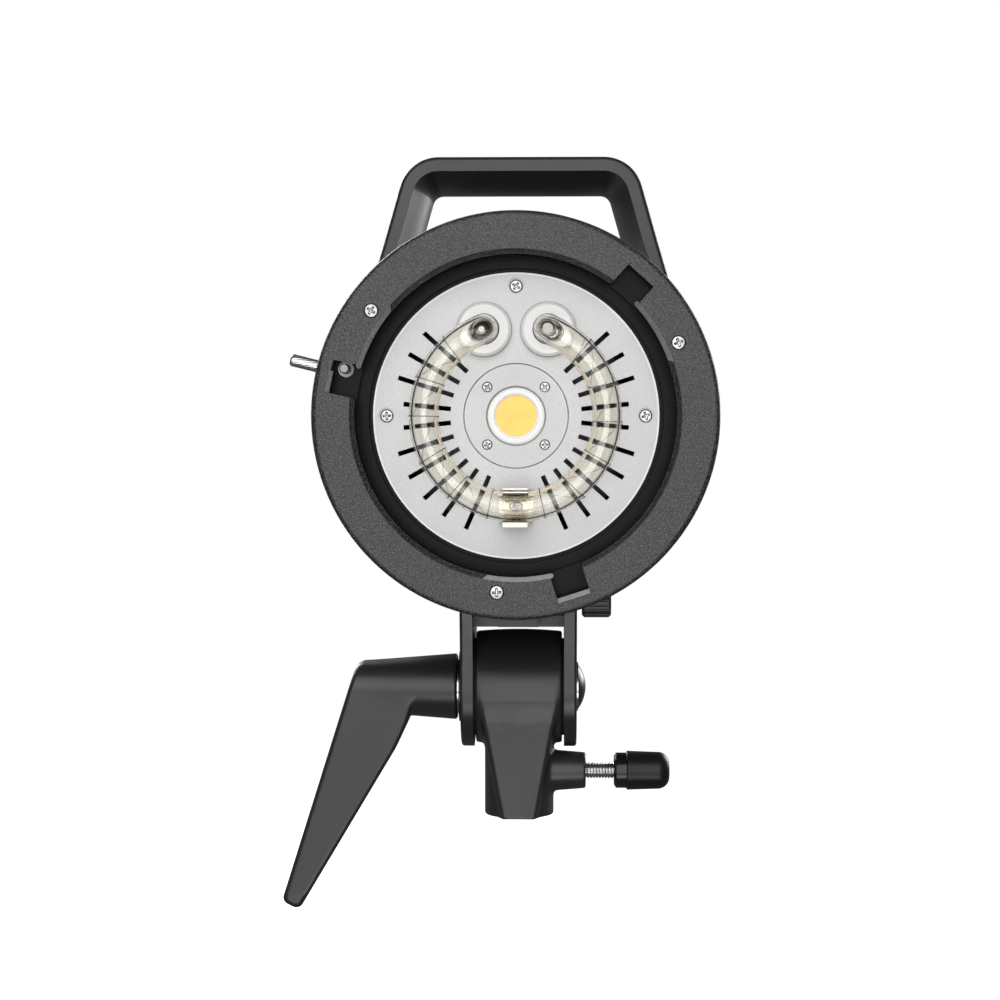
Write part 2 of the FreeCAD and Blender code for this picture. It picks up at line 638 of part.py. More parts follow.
def handle():
    front, depth = HANDLE_FRONT, HANDLE_DEPTH
    rear = front + depth
    foot = HANDLE_FOOT
    outer = Part.Face(handle_outline(0.0, front - 10, foot)).extrude(vec(0, depth + 20, 0))
    sections = []
    for share in (-0.25, 0.0, 0.25, 0.5, 0.75, 1.0, 1.25):
        bulge = HANDLE_CROWN * max(0.0, 1 - (2 * share - 1) ** 2)
        sections.append(handle_outline(HANDLE_RIM + bulge, front + share * depth, foot - 12))
    opening = Part.makeLoft(sections, True, False)
    side = prism_x([(front, AXIS_Z + HANDLE_TOP + 1), (front, AXIS_Z + 62), (front - 8, AXIS_Z + foot),
                    (rear + 6, AXIS_Z + foot), (rear, AXIS_Z + 62), (rear, AXIS_Z + HANDLE_TOP + 1)], -70, 70)
    arch = outer.common(side)
    arch = rounded_edges(arch, 1.6, lambda e: is_handle_rim(e, front, rear))
    arch = arch.cut(opening)
    arch = arch.cut(housing_outer(0.0))
    for x, y, z in handle_screw_places():
        side_sign = math.copysign(1, x)
        x0, x1 = sorted((side_sign * 40, side_sign * 75))
        arch = arch.cut(rod_x(2.1, x0, x1, y, z))
        x0, x1 = sorted((x - side_sign * 1.5, x + side_sign * 12))
        arch = arch.cut(rod_x(4.3, x0, x1, y, z))
    return arch


def is_handle_rim(edge, front, rear):
    """The outer long edges along the arch's front and rear faces."""
    middle = edge.CenterOfMass
    along_face = edge.BoundBox.YLength < 9 and (middle.y < front + 0.1 or middle.y > rear - 0.1)
    return along_face and middle.z > AXIS_Z + HANDLE_FOOT + 1


def handle_screw_places():
    return [(side * 58.6, y, AXIS_Z + 20.0) for side in (-1, 1) for y in (44.0, 70.0)]


def handle_screws():
    screws = []
    for x, y, z in handle_screw_places():
        side = math.copysign(1, x)
        head_in = x - side * 1.5
        head = rod_x(4.0, *sorted((head_in, head_in + side * 2.2)), y, z)
        head = rounded_edges(head, 0.8, lambda e: abs(abs(e.CenterOfMass.x) - abs(head_in + side * 2.2)) < 0.1)
        shank = rod_x(2.05, *sorted((side * 50.0, head_in)), y, z)
        points = [vec(head_in + side * 1.0, y + 1.7 * math.cos(math.radians(60 * k)),
                      z + 1.7 * math.sin(math.radians(60 * k))) for k in range(6)]
        key = Part.Face(Part.makePolygon(points + points[:1])).extrude(vec(side * 4, 0, 0))
        screws.append(head.fuse(shank).removeSplitter().cut(key))
    return screws


# ---------------------------------------------------------------- mount
def notch(angle):
    """A lug entry through the ring, with parallel sides and a chamfered outer end."""
    half = NOTCH_WIDTH / 2
    slot = lamp_block(RING_OPENING_R - 8, NOTCH_R, RING_FRONT - 1, RING_FRONT + RING_THICK + 1, -half, half)
    corners = [(NOTCH_R - 0.1, RING_FRONT - 0.1), (NOTCH_R + NOTCH_CHAMFER + 0.1, RING_FRONT - 0.1),
               (NOTCH_R - 0.1, RING_FRONT + NOTCH_CHAMFER + 0.1)]
    points = [lamp(x, y, -half) for x, y in corners]
    wedge = Part.Face(Part.makePolygon(points + points[:1])).extrude(vec(0, 0, NOTCH_WIDTH))
    return spun_y(slot.fuse(wedge), angle)


def ring_layer(opening_r, y0, y1):
    """One depth of the ring, with its lug entries; each entry's leading corner is rounded."""
    layer = tube_y(RING_R, opening_r, y0, y1)
    for angle in NOTCH_ANGLES:
        layer = layer.cut(notch(angle))
    reach = math.degrees(math.asin(NOTCH_WIDTH / 2 / opening_r))
    places = [polar(opening_r, angle + reach) for angle in NOTCH_ANGLES]

    def is_leading_corner(edge):
        middle = edge.CenterOfMass
        return any(math.hypot(middle.x - x, middle.z - AXIS_Z - z) < 0.05 for x, z in places)

    return rounded_edges(layer, NOTCH_CORNER_R, is_leading_corner)


def ramp(angle):
    """A raised stretch of the stepped opening, just clockwise of a notch, with a round nose."""
    y0 = RING_FRONT + RAMP_SINK
    middle_r = (RING_OPENING_R + RING_FACE_OPENING_R) / 2
    nose_r = (RING_FACE_OPENING_R - RING_OPENING_R) / 2
    wall = math.degrees(math.asin(NOTCH_WIDTH / 2 / middle_r))
    nose = angle - wall + math.degrees((RAMP_NOSE - nose_r) / middle_r)
    end = angle - wall - RAMP_SPAN
    slant = 11.0
    corners = [polar(40, nose), polar(60, nose), polar(60, end - slant), polar(40, end + slant)]
    sector = prism_y([(x, AXIS_Z + z) for x, z in corners], y0, RING_FRONT + RING_THICK)
    band = tube_y(RING_FACE_OPENING_R + 0.2, RING_OPENING_R, y0, RING_FRONT + RING_THICK).common(sector)
    return band.fuse(rod_y(nose_r, y0, RING_FRONT + RING_THICK, *polar(middle_r, nose)))


def lock_relief():
    """A small gap in the left notch's outer end, beside the lock pin."""
    gap = lamp_block(NOTCH_R - 1, NOTCH_R + 0.9, RING_FRONT - 1, RING_FRONT + RING_THICK + 1, -1.6, 1.6)
    return spun_y(gap, LOCK_ANGLE)


def round_edged_disc():
    """The ring's outer form: a disc with its front edge rounded."""
    radius = 1.6
    back = RING_FRONT + RING_THICK
    bow = radius * math.sin(math.radians(45))
    arc = Part.Arc(lamp(RING_R - radius, RING_FRONT, 0),
                   lamp(RING_R - radius + bow, RING_FRONT + radius - bow, 0),
                   lamp(RING_R, RING_FRONT + radius, 0)).toShape()
    rest = Part.makePolygon([lamp(RING_R, RING_FRONT + radius, 0), lamp(RING_R, back, 0), lamp(0, back, 0),
                             lamp(0, RING_FRONT, 0), lamp(RING_R - radius, RING_FRONT, 0)])
    return Part.Face(Part.Wire([arc] + rest.Edges)).revolve(lamp(0, 0, 0), Y_AXIS, 360)


def mount_ring():
    face = ring_layer(RING_FACE_OPENING_R, RING_FRONT, RING_FRONT + RING_STEP)
    back = ring_layer(RING_OPENING_R, RING_FRONT + RING_STEP, RING_FRONT + RING_THICK)
    ring = fused([face, back]).common(round_edged_disc())
    ring = fused([ring] + [ramp(angle) for angle in NOTCH_ANGLES])
    ring = ring.cut(lock_relief())
    for angle in RING_SCREW_ANGLES:
        x, z = polar(RING_SCREW_PCR, angle)
        ring = ring.cut(rod_y(1.5, RING_FRONT - 1, RING_FRONT + RING_THICK + 1, x, z))
    return ring


def mount_ring_screws():
    return [pan_screw(2.3, 1.0, 1.4, 8.0, *on_face(RING_SCREW_PCR, angle, RING_FRONT))
            for angle in RING_SCREW_ANGLES]


def lock_pocket():
    """Room in the base for the lock carrier and the release rod, over their whole travel."""
    carrier = lamp_block(LOCK_PCR - 4.3, LOCK_PCR + 4.0, ROD_Y - 2.1, BODY_FRONT + 1, -4.0, 4.0)
    carrier = spun_y(carrier, LOCK_ANGLE)
    way = lamp_block(LOCK_PCR, RING_R + 2, ROD_Y - 2.1, BODY_FRONT - 1.0, -2.2, 2.2)
    way = spun_y(way, ROD_ANGLE)
    return carrier.fuse(way)


def mount_base():
    back = BODY_FRONT
    seat = PLATE_FACE + PLATE_THICK
    profile = [(BASE_R, RING_FRONT + RING_THICK), (BASE_R, back - 1.2), (BASE_R - 1.2, back), (45.5, back),
               (45.5, back + 2.5), (38.6, back + 2.5), (38.6, seat), (PLATE_R + PLATE_GAP, seat),
               (PLATE_R + PLATE_GAP, PLATE_FACE - PLATE_RIM), (THROAT_R, PLATE_FACE - PLATE_RIM),
               (THROAT_R, CHANNEL_FLOOR),
               (CHANNEL_R, CHANNEL_FLOOR), (CHANNEL_R, RING_FRONT + RING_THICK)]
    base = turned_y(profile)
    for angle in RING_SCREW_ANGLES:
        x, z = polar(RING_SCREW_PCR, angle)
        base = base.fuse(rod_y(3.2, RING_FRONT + RING_THICK, CHANNEL_FLOOR + 0.5, x, z))
        base = base.cut(rod_y(1.45, RING_FRONT - 1, CHANNEL_FLOOR + 2.5, x, z))
    for angle in PLATE_SCREW_ANGLES:
        x, z = polar(PLATE_SCREW_PCR, angle)
        base = base.fuse(rod_y(3.0, seat, back + 2.5, x, z))
        base = base.cut(rod_y(1.05, seat - 1, back, x, z))
    base = base.cut(lock_pocket())
    x, z = polar(LOCK_PCR, LOCK_ANGLE)
    base = base.cut(rod_y(2.4, CHANNEL_FLOOR - 2, ROD_Y, x, z))
    return base.removeSplitter()


def lock_pin_guide():
    x, z = polar(LOCK_PCR, LOCK_ANGLE)
    flange = rod_y(2.4, CHANNEL_FLOOR - 0.9, ROD_Y - 2.1, x, z)
    return flange.cut(rod_y(LOCK_PIN_R + RUN_FIT, -90, -50, x, z))


def lock_pin():
    """The pin with the carrier that the release rod screws into."""
    x, z = polar(LOCK_PCR, LOCK_ANGLE)
    pin = rod_y(LOCK_PIN_R, RING_FRONT + 0.6, ROD_Y, x, z)
    pin = rounded_edges(pin, 0.4, lambda e: e.BoundBox.YMax < RING_FRONT + 1)
    carrier = spun_y(lamp_block(LOCK_PCR - 3.6, LOCK_PCR + 3.3, ROD_Y - 1.8, ROD_Y + 1.8, -3.3, 3.3), LOCK_ANGLE)
    whole = fused([pin, carrier])
    return whole.cut(release_rod_body(1.3))


def release_rod_body(radius):
    start = 53.0
    x, z = polar(start, ROD_ANGLE)
    dx, dz = polar(1.0, ROD_ANGLE)
    return Part.makeCylinder(radius, ROD_REACH - start, lamp(x, ROD_Y, z), vec(dx, 0, dz))


def release_rod():
    """A thin threaded end in the carrier and a thicker finger end outside it."""
    thin = release_rod_body(1.3)
    start = LOCK_PCR + 3.6
    x, z = polar(start, ROD_ANGLE)
    dx, dz = polar(1.0, ROD_ANGLE)
    grip = Part.makeCylinder(ROD_R, ROD_REACH - start, lamp(x, ROD_Y, z), vec(dx, 0, dz))
    return fused([thin, grip])


def lock_spring():
    """The envelope of the coil spring between the carrier and the housing's front wall."""
    x, z = polar(LOCK_PCR, LOCK_ANGLE)
    return tube_y(2.45, 1.95, ROD_Y + 1.85, BODY_FRONT - 0.05, x, z)


# ---------------------------------------------------------------- reflector plate and modelling lamp
def slot_angles():
    right = [42.0 - SLOT_STEP * k for k in range(SLOT_COUNT)]
    return right + [180.0 - angle for angle in right]


def reflector_plate():
    plate = tube_y(PLATE_R, COVER_R + 0.22, PLATE_FACE, PLATE_FACE + PLATE_THICK)
    cuts = []
    for angle in slot_angles():
        beside_level = abs(math.sin(math.radians(angle))) < 0.12
        outer = SLOT_SHORT_R if beside_level else SLOT_OUTER_R
        slot = lamp_block(SLOT_INNER_R, outer, PLATE_FACE - 1, PLATE_FACE + 3, -SLOT_WIDTH / 2, SLOT_WIDTH / 2)
        cuts.append(spun_y(slot, angle))
    for side in (-1, 1):
        cuts.append(rod_y(BUSHING_R + 0.25, PLATE_FACE - 1, PLATE_FACE + 3, side * BUSHING_X, BUSHING_Z))
    for angle in PLATE_SCREW_ANGLES:
        x, z = polar(PLATE_SCREW_PCR, angle)
        cuts.append(rod_y(2.55, PLATE_FACE - 1, PLATE_FACE + 0.7, x, z))
        cuts.append(rod_y(1.15, PLATE_FACE - 1, PLATE_FACE + 3, x, z))
    cuts.append(rod_y(1.05, PLATE_FACE - 1, PLATE_FACE + 3, 0, -TUBE_RING_R))
    for tool in cuts:
        plate = plate.cut(tool)
    return plate


def reflector_plate_screws():
    return [pan_screw(2.1, 0.8, 1.05, 5.0, *on_face(PLATE_SCREW_PCR, angle, PLATE_FACE + 0.7))
            for angle in PLATE_SCREW_ANGLES]


def cover_screw_places():
    return [(sx * COVER_SCREW_XZ, sz * COVER_SCREW_XZ) for sx in (-1, 1) for sz in (-1, 1)]


def led_cover():
    profile = [(COVER_R, PLATE_FACE), (COVER_R, PLATE_FACE + 1.2), (LED_OPENING_R, PLATE_FACE + 1.2),
               (LED_OPENING_R, PLATE_FACE + 0.5), (LED_OPENING_R + 0.5, PLATE_FACE)]
    cover = turned_y(profile)
    for x, z in cover_screw_places():
        cover = cover.cut(rod_y(0.85, PLATE_FACE - 1, PLATE_FACE + 3, x, z))
        cover = cover.cut(rod_y(1.7, PLATE_FACE - 1, PLATE_FACE + 0.35, x, z))
    return cover


def led_cover_screws():
    return [pan_screw(1.6, 0.75, 0.8, 5.0, x, PLATE_FACE + 0.35, z) for x, z in cover_screw_places()]


def led_holder_ring():
    profile = [(LED_RING_OUTER_R, PLATE_FACE + 0.4), (LED_RING_OUTER_R, PLATE_FACE + 1.3),
               (COVER_R - 5.5, PLATE_FACE + 1.3), (COVER_R - 5.5, PLATE_FACE + 2.6),
               (LED_RING_INNER_R - 0.4, PLATE_FACE + 2.6), (LED_RING_INNER_R, PLATE_FACE + 0.4)]
    return turned_y(profile)


def led_module():
    substrate = rounded_slab(7.8, 7.8, 1.0, PLATE_FACE + 2.6, PLATE_FACE + 4.0)
    phosphor = rod_y(PHOSPHOR_R, PLATE_FACE + 1.8, PLATE_FACE + 2.6)
    return fused([substrate, phosphor])


def led_heatsink():
    top = PLATE_FACE + 4.0
    base = rod_y(20.0, top, top + 4)
    for x, z in cover_screw_places():
        base = base.fuse(rod_y(1.9, PLATE_FACE + 1.2, top + 1, x, z))
    fins = [lamp_block(-17 + 4.0 * k, -15.4 + 4.0 * k, top + 3.5, top + 20, -12, 12) for k in range(9)]
    sink = base
    for fin in fins:
        sink = sink.fuse(fin)
    sink = sink.removeSplitter()
    for x, z in cover_screw_places():
        sink = sink.cut(rod_y(0.85, PLATE_FACE, top + 3, x, z))
    return sink.cut(rounded_slab(7.9, 7.9, 1.0, PLATE_FACE, top))


# ---------------------------------------------------------------- flash tube
def tube_path(y_back):
    """Up out of one bushing, round the ring below and down into the other bushing."""
    reach = math.degrees(math.atan(TUBE_BEND_R / TUBE_RING_R))
    end_angle = math.degrees(math.atan2(BUSHING_Z, BUSHING_X)) - reach
    end_x, end_z = polar(TUBE_RING_R, end_angle)
    heading_x, heading_z = polar(1.0, end_angle + 90)
    foot_x = end_x + TUBE_BEND_R * heading_x
    foot_z = end_z + TUBE_BEND_R * heading_z
    bow = TUBE_BEND_R * math.sin(math.radians(45))
    dip = TUBE_BEND_R - TUBE_BEND_R * math.cos(math.radians(45))
    foot_y = TUBE_Y + TUBE_BEND_R

    def bend(side):
        return Part.Arc(lamp(side * foot_x, foot_y, foot_z),
                        lamp(side * (end_x + bow * heading_x), TUBE_Y + dip, end_z + bow * heading_z),
                        lamp(side * end_x, TUBE_Y, end_z)).toShape()

    ring = Part.Arc(lamp(-end_x, TUBE_Y, end_z), lamp(0, TUBE_Y, -TUBE_RING_R),
                    lamp(end_x, TUBE_Y, end_z)).toShape()
    left = Part.makeLine(lamp(-foot_x, y_back, foot_z), lamp(-foot_x, foot_y, foot_z))
    right = Part.makeLine(lamp(foot_x, foot_y, foot_z), lamp(foot_x, y_back, foot_z))
    return Part.Wire([left, bend(-1), ring, bend(1), right]), foot_x, foot_z


def swept_tube(radius, y_back):
    path, foot_x, foot_z = tube_path(y_back)
    section = Part.Wire(Part.makeCircle(radius, lamp(-foot_x, y_back, foot_z), Y_AXIS))
    return path.makePipeShell([section], True, False)


def flash_tube():
    return swept_tube(TUBE_R, -61.0).cut(swept_tube(TUBE_BORE_R, -60.0))


def tube_electrodes():
    shapes = []
    foot_x, foot_z = tube_path(-60.0)[1:]
    for side in (-1, 1):
        x = side * foot_x
        capsule = turned_y([(0, -75.6), (1.4, -75.3), (2.5, -74.2), (2.8, -73.0), (2.8, -67.0), (1.2, -66.2),
                            (1.2, -62.6), (3.4, -62.6), (3.4, -59.5), (0, -59.5)], x, foot_z)
        shapes.append(capsule)
    return shapes


def tube_bushings():
    shapes = []
    for side in (-1, 1):
        profile = [(TUBE_R + 0.3, BUSHING_FRONT), (BUSHING_R - 0.8, BUSHING_FRONT),
                   (BUSHING_R, BUSHING_FRONT + 0.8), (BUSHING_R, PLATE_FACE + PLATE_THICK),
                   (BUSHING_R + 1.2, PLATE_FACE + PLATE_THICK), (BUSHING_R + 1.2, -62.6), (TUBE_R + 0.3, -62.6)]
        bushing = turned_y(profile, side * BUSHING_X, BUSHING_Z)
        shapes.append(bushing.cut(lamp_block(-0.15, 0.15, -90, -50, 0, 60)))
    return shapes


def trigger_wire():
    """Turns of thin wire round the glass, each a closed loop, about 30 degrees apart."""
    wire_r = 0.16
    loops = []
    for angle in (136.0, 166.0, 196.0, 226.0, 252.0, 288.0, 314.0, 344.0, 374.0, 404.0):
        x, z = polar(TUBE_RING_R, angle)
        tx, tz = polar(1.0, angle + 90)
        loops.append(Part.makeTorus(TUBE_R + wire_r + 0.03, wire_r, lamp(x, TUBE_Y, z), vec(tx, 0, tz)))
    return loops


CLIP_HALF_X = 3.85
CLIP_FOOT_X = 5.2
CLIP_SHEET = 0.5


def tube_clip():
    """A spring strip bent to a U round the tube, with flared lips."""
    centre = AXIS_Z - TUBE_RING_R
    inner = TUBE_R + 0.45
    outer = inner + CLIP_SHEET
    base_y = PLATE_FACE
    outline = [(base_y, centre - outer), (base_y, centre + outer), (TUBE_Y - 3.2, centre + outer),
               (TUBE_Y - 4.3, centre + outer + 1.0), (TUBE_Y - 4.3 - 0.35, centre + outer + 0.65),
               (TUBE_Y - 3.4, centre + inner), (base_y - CLIP_SHEET, centre + inner),
               (base_y - CLIP_SHEET, centre - inner), (TUBE_Y - 3.4, centre - inner),
               (TUBE_Y - 4.3 - 0.35, centre - outer - 0.65), (TUBE_Y - 4.3, centre - outer - 1.0),
               (TUBE_Y - 3.2, centre - outer)]
    strip = prism_x(outline, -CLIP_HALF_X, CLIP_HALF_X)
    foot = lamp_block(-CLIP_FOOT_X, CLIP_FOOT_X, PLATE_FACE - CLIP_SHEET, PLATE_FACE,
                      -TUBE_RING_R - 3.4, -TUBE_RING_R + 3.4)
    strip = strip.fuse(foot).removeSplitter()
    return strip.cut(rod_y(1.1, PLATE_FACE - 2, PLATE_FACE + 2, 0, -TUBE_RING_R))


def tube_clip_screw():
    return pan_screw(2.2, 1.3, 1.0, 5.5, 0, PLATE_FACE - CLIP_SHEET, -TUBE_RING_R)


# ---------------------------------------------------------------- inside the housing
def capacitors():
    cans = []
    for x in (-17.0, 17.0):
        for z in (-17.0, 17.0):
            can = rod_y(15.5, -36, 22, x, z)
            can = rounded_edges(can, 1.5, lambda e: e.BoundBox.YLength < 0.01 and e.Length > 60)
            groove = tube_y(17, 15.0, 15.5, 17.0, x, z)
            cans.append(can.cut(groove))
    return cans


def power_board():
    top = -40.0
    board = lamp_block(-30, 30, -38, 58, top, top + 1.6)
    transformer = lamp_block(-13, 13, 30, 56, top + 1.6, top + 20)
    bridge = lamp_block(-26, -18, 34, 52, top + 1.6, top + 14)
    inductor = Part.makeCylinder(6, 12, vec(22, 44, AXIS_Z + top + 1.6), Z_AXIS)
    posts = [Part.makeCylinder(2.5, BODY_BOTTOM - WALL + top, vec(x, y, AXIS_Z - BODY_BOTTOM + WALL), Z_AXIS)
             for x in (-18, 18) for y in (-32, 52)]
    return [board, transformer, bridge, inductor] + posts


FAN_FRONT = 64.0
FAN_BACK = 79.0


def fan_frame():
    frame = lamp_block(-30, 30, FAN_FRONT, FAN_BACK, -30, 30)
    frame = frame.cut(rod_y(28.6, FAN_FRONT - 1, FAN_BACK + 1))
    for x in (-25, 25):
        for z in (-25, 25):
            frame = frame.cut(rod_y(2.1, FAN_FRONT - 1, FAN_BACK + 1, x, z))
    spokes = [spun_y(lamp_block(0, 29, FAN_BACK - 2, FAN_BACK, -1.2, 1.2), angle) for angle in (90, 210, 330)]
    motor = rod_y(10.5, FAN_BACK - 2.5, FAN_BACK)
    pin = rod_y(1.5, FAN_FRONT + 4, FAN_BACK - 1)
    return fused([frame, motor, pin] + spokes)


def fan_rotor():
    front, back = FAN_FRONT + 1, FAN_BACK - 3.2
    hub = rod_y(11.5, front, back)
    blades = []
    for index in range(7):
        blade = lamp_block(10, 27.6, -0.8, 0.8, -6.6, 6.6)
        blade.translate(vec(0, (front + back) / 2, 0))
        blade.rotate(lamp(0, (front + back) / 2, 0), X_AXIS, 52)
        blades.append(spun_y(blade, index * 360.0 / 7))
    rotor = fused([hub] + blades)
    return rotor.cut(rod_y(1.5 + RUN_FIT, front + 2, back + 1))


def control_board():
    return lamp_block(-36, 36, 99.0, 100.6, -14, 40)


# ---------------------------------------------------------------- rear panel and controls
DISPLAY = (0.0, 27.0, 46.0, 20.0)          # centre x and z, width, height
DIAL = (0.0, -1.0, 12.5)
BUTTON_R = 4.0
BUTTON_PLACES = {"mode_button": (-31.0, 7.0), "sound_button": (-31.0, -8.0),
                 "slave_button": (31.0, 7.0), "lamp_button": (31.0, -8.0), "test_button": (19.5, -15.5)}
BUTTON_PROUD = 1.6
SENSOR = (-19.5, -15.5, 3.4)
INLET = (-19.0, -33.5, 27.0, 19.0)
SWITCH = (8.5, -33.5, 13.0, 19.0)
FUSE = (26.5, -32.5, 6.0)
JACK = (44.0, -1.0, 4.0)


def rear_panel():
    slab = rounded_slab(BODY_HALF_X - WALL - 0.15, BODY_BOTTOM - WALL - 0.15, BODY_CORNER_R - WALL - 0.15,
                        PANEL_FRONT, PANEL_BACK)
    y0, y1 = PANEL_FRONT - 5, PANEL_BACK + 5
    cuts = []
    for x, z, width, height in (INLET, SWITCH):
        cuts.append(lamp_block(x - width / 2, x + width / 2, y0, y1, z - height / 2, z + height / 2))
    x, z, width, height = DISPLAY
    cuts.append(lamp_block(x - width / 2, x + width / 2, PANEL_BACK - 1.5, y1, z - height / 2, z + height / 2))
    cuts.append(lamp_block(x - width / 2 + 2, x + width / 2 - 2, y0, y1, z - height / 2 + 2, z + height / 2 - 2))
    cuts.append(rod_y(3.0 + RUN_FIT, y0, y1, DIAL[0], DIAL[1]))
    for x, z in BUTTON_PLACES.values():
        cuts.append(rod_y(BUTTON_R + FREE_GAP, y0, y1, x, z))
    cuts.append(rod_y(SENSOR[2], y0, y1, SENSOR[0], SENSOR[1]))
    cuts.append(rod_y(3.0 + RUN_FIT, y0, y1, FUSE[0], FUSE[1]))
    cuts.append(rod_y(JACK[2], y0, y1, JACK[0], JACK[1]))
    for x, z in panel_screw_places():
        cuts.append(rod_y(1.3, y0, y1, x, z))
    for tool in cuts:
        slab = slab.cut(tool)
    return slab


def display():
    x, z, width, height = DISPLAY
    pane = lamp_block(x - width / 2, x + width / 2, PANEL_BACK - 1.5, PANEL_BACK + 0.2, z - height / 2, z + height / 2)
    back = lamp_block(x - width / 2 + 2, x + width / 2 - 2, PANEL_BACK - 5.5, PANEL_BACK - 1.5,
                      z - height / 2 + 2, z + height / 2 - 2)
    return fused([pane, back])


def power_dial():
    x, z, radius = DIAL
    y0 = PANEL_BACK + 0.4
    profile = [(0, PANEL_FRONT - 4), (3.0, PANEL_FRONT - 4), (3.0, y0), (radius, y0), (radius, y0 + 2),
               (radius - 0.9, y0 + 3), (radius - 1.2, y0 + 11), (radius - 2.2, y0 + 12.2), (radius - 4, y0 + 12.2),
               (radius - 5, y0 + 11.8), (0, y0 + 11.8)]
    dial = turned_y(profile, x, z)
    count = 30
    for index in range(count):
        px, pz = polar(radius - 0.75, 360.0 * (index + 0.5) / count)
        dial = dial.cut(rod_y(0.6, y0 + 3.2, y0 + 13, x + px, z + pz))
    pointer = lamp_block(x - 0.5, x + 0.5, y0 + 11.4, y0 + 13, z + 3, z + radius - 5)
    return dial.cut(pointer)


def button(name):
    x, z = BUTTON_PLACES[name]
    cap = rod_y(BUTTON_R, PANEL_FRONT - 1.6, PANEL_BACK + BUTTON_PROUD, x, z)
    cap = rounded_edges(cap, 0.6, lambda e: e.BoundBox.YMin > PANEL_BACK + 1)
    flange = rod_y(BUTTON_R + 1.2, PANEL_FRONT - 1.6, PANEL_FRONT - 0.4, x, z)
    return fused([cap, flange])


def switch_housing():
    x, z, width, height = SWITCH
    body = lamp_block(x - width / 2, x + width / 2, PANEL_BACK - 16, PANEL_BACK, z - height / 2, z + height / 2)
    flange = lamp_block(x - width / 2 - 1, x + width / 2 + 1, PANEL_BACK, PANEL_BACK + 1.4,
                        z - height / 2 - 1, z + height / 2 + 1)
    cavity = lamp_block(x - 4.9, x + 4.9, PANEL_BACK - 12, PANEL_BACK + 3, z - 8.5, z + 8.5)
    trunnions = [rod_x(1.2, x + side * 5.3 - 0.9, x + side * 5.3 + 0.9, PANEL_BACK - 2.0, AXIS_Z + z)
                 for side in (-1, 1)]
    return fused([body.fuse(flange).removeSplitter().cut(cavity)] + trunnions)


ROCKER_REST = -8.0


def switch_rocker():
    """A shallow V-faced rocker on two stub pins, leaning towards off."""
    x, z = SWITCH[:2]
    pivot_y = PANEL_BACK - 2.0
    zc = AXIS_Z + z
    outline = [(pivot_y - 3.5, zc - 3.0), (pivot_y - 0.5, zc - 7.4), (pivot_y + 4.6, zc - 7.6),
               (pivot_y + 3.5, zc), (pivot_y + 4.6, zc + 7.6), (pivot_y - 0.5, zc + 7.4), (pivot_y - 3.5, zc + 3.0)]
    rocker = prism_x(outline, x - 4.6, x + 4.6)
    rocker = rocker.cut(rod_x(1.2 + RUN_FIT, x - 10, x + 10, pivot_y, zc))
    rocker.rotate(vec(x, pivot_y, zc), X_AXIS, ROCKER_REST)
    return rocker


def inlet_cavity():
    x, z = INLET[:2]
    half_w, half_h, chamfer = 12.2, 8.2, 4.5
    zc = AXIS_Z + z
    outline = [(x - half_w, zc - half_h), (x + half_w, zc - half_h), (x + half_w, zc + half_h - chamfer),
               (x + half_w - chamfer, zc + half_h), (x - half_w + chamfer, zc + half_h),
               (x - half_w, zc + half_h - chamfer)]
    return prism_y(outline, PANEL_BACK - 14, PANEL_BACK + 3)


def mains_inlet():
    x, z, width, height = INLET
    body = lamp_block(x - width / 2, x + width / 2, PANEL_BACK - 16, PANEL_BACK, z - height / 2, z + height / 2)
    flange = rounded_block_y(x, z, width / 2 + 1.2, height / 2 + 1.2, 2.0, PANEL_BACK, PANEL_BACK + 1.5)
    whole = body.fuse(flange).removeSplitter().cut(inlet_cavity())
    for px, pz in pin_places():
        whole = whole.cut(lamp_block(px - 1.0, px + 1.0, PANEL_BACK - 18, PANEL_BACK - 10, pz - 2.0, pz + 2.0))
    return whole


def rounded_block_y(x, z, half_x, half_z, radius, y0, y1):
    slab = rounded_slab(half_x, half_z, radius, y0, y1)
    slab.translate(vec(x, 0, z))
    return slab


def pin_places():
    x, z = INLET[0], INLET[1]
    return [(x - 7.0, z - 1.0), (x + 7.0, z - 1.0), (x, z + 3.0)]


def inlet_pins():
    return [lamp_block(px - 1.0, px + 1.0, PANEL_BACK - 19, PANEL_BACK - 3.0, pz - 2.0, pz + 2.0)
            for px, pz in pin_places()]


def fuse_cap():
    x, z, radius = FUSE
    y0 = PANEL_BACK + 0.3
    profile = [(0, PANEL_BACK - 10), (3.0, PANEL_BACK - 10), (3.0, y0), (radius, y0), (radius, y0 + 4.4),
               (radius - 0.8, y0 + 5.2), (0, y0 + 5.2)]
    cap = turned_y(profile, x, z)
    for index in range(12):
        px, pz = polar(radius + 0.1, 30.0 * index)
        cap = cap.cut(rod_y(0.5, y0 + 1.2, y0 + 6, x + px, z + pz))
    return cap.cut(lamp_block(x - 3.6, x + 3.6, y0 + 4.2, y0 + 7, z - 0.6, z + 0.6))


def sync_socket():
    x, z, radius = JACK
    sleeve = rod_y(radius, PANEL_BACK - 14, PANEL_BACK, x, z)
    nut = rod_y(radius + 1.3, PANEL_BACK, PANEL_BACK + 1.4, x, z)
    return sleeve.fuse(nut).removeSplitter().cut(rod_y(1.8, PANEL_BACK - 12, PANEL_BACK + 3, x, z))


def slave_sensor():
    x, z, radius = SENSOR
    stem = rod_y(radius, PANEL_BACK - 6, PANEL_BACK, x, z)
    dome = Part.makeSphere(radius, lamp(x, PANEL_BACK, z))
    dome = dome.common(lamp_block(x - 9, x + 9, PANEL_BACK, PANEL_BACK + 9, z - 9, z + 9))
    return fused([stem, dome])


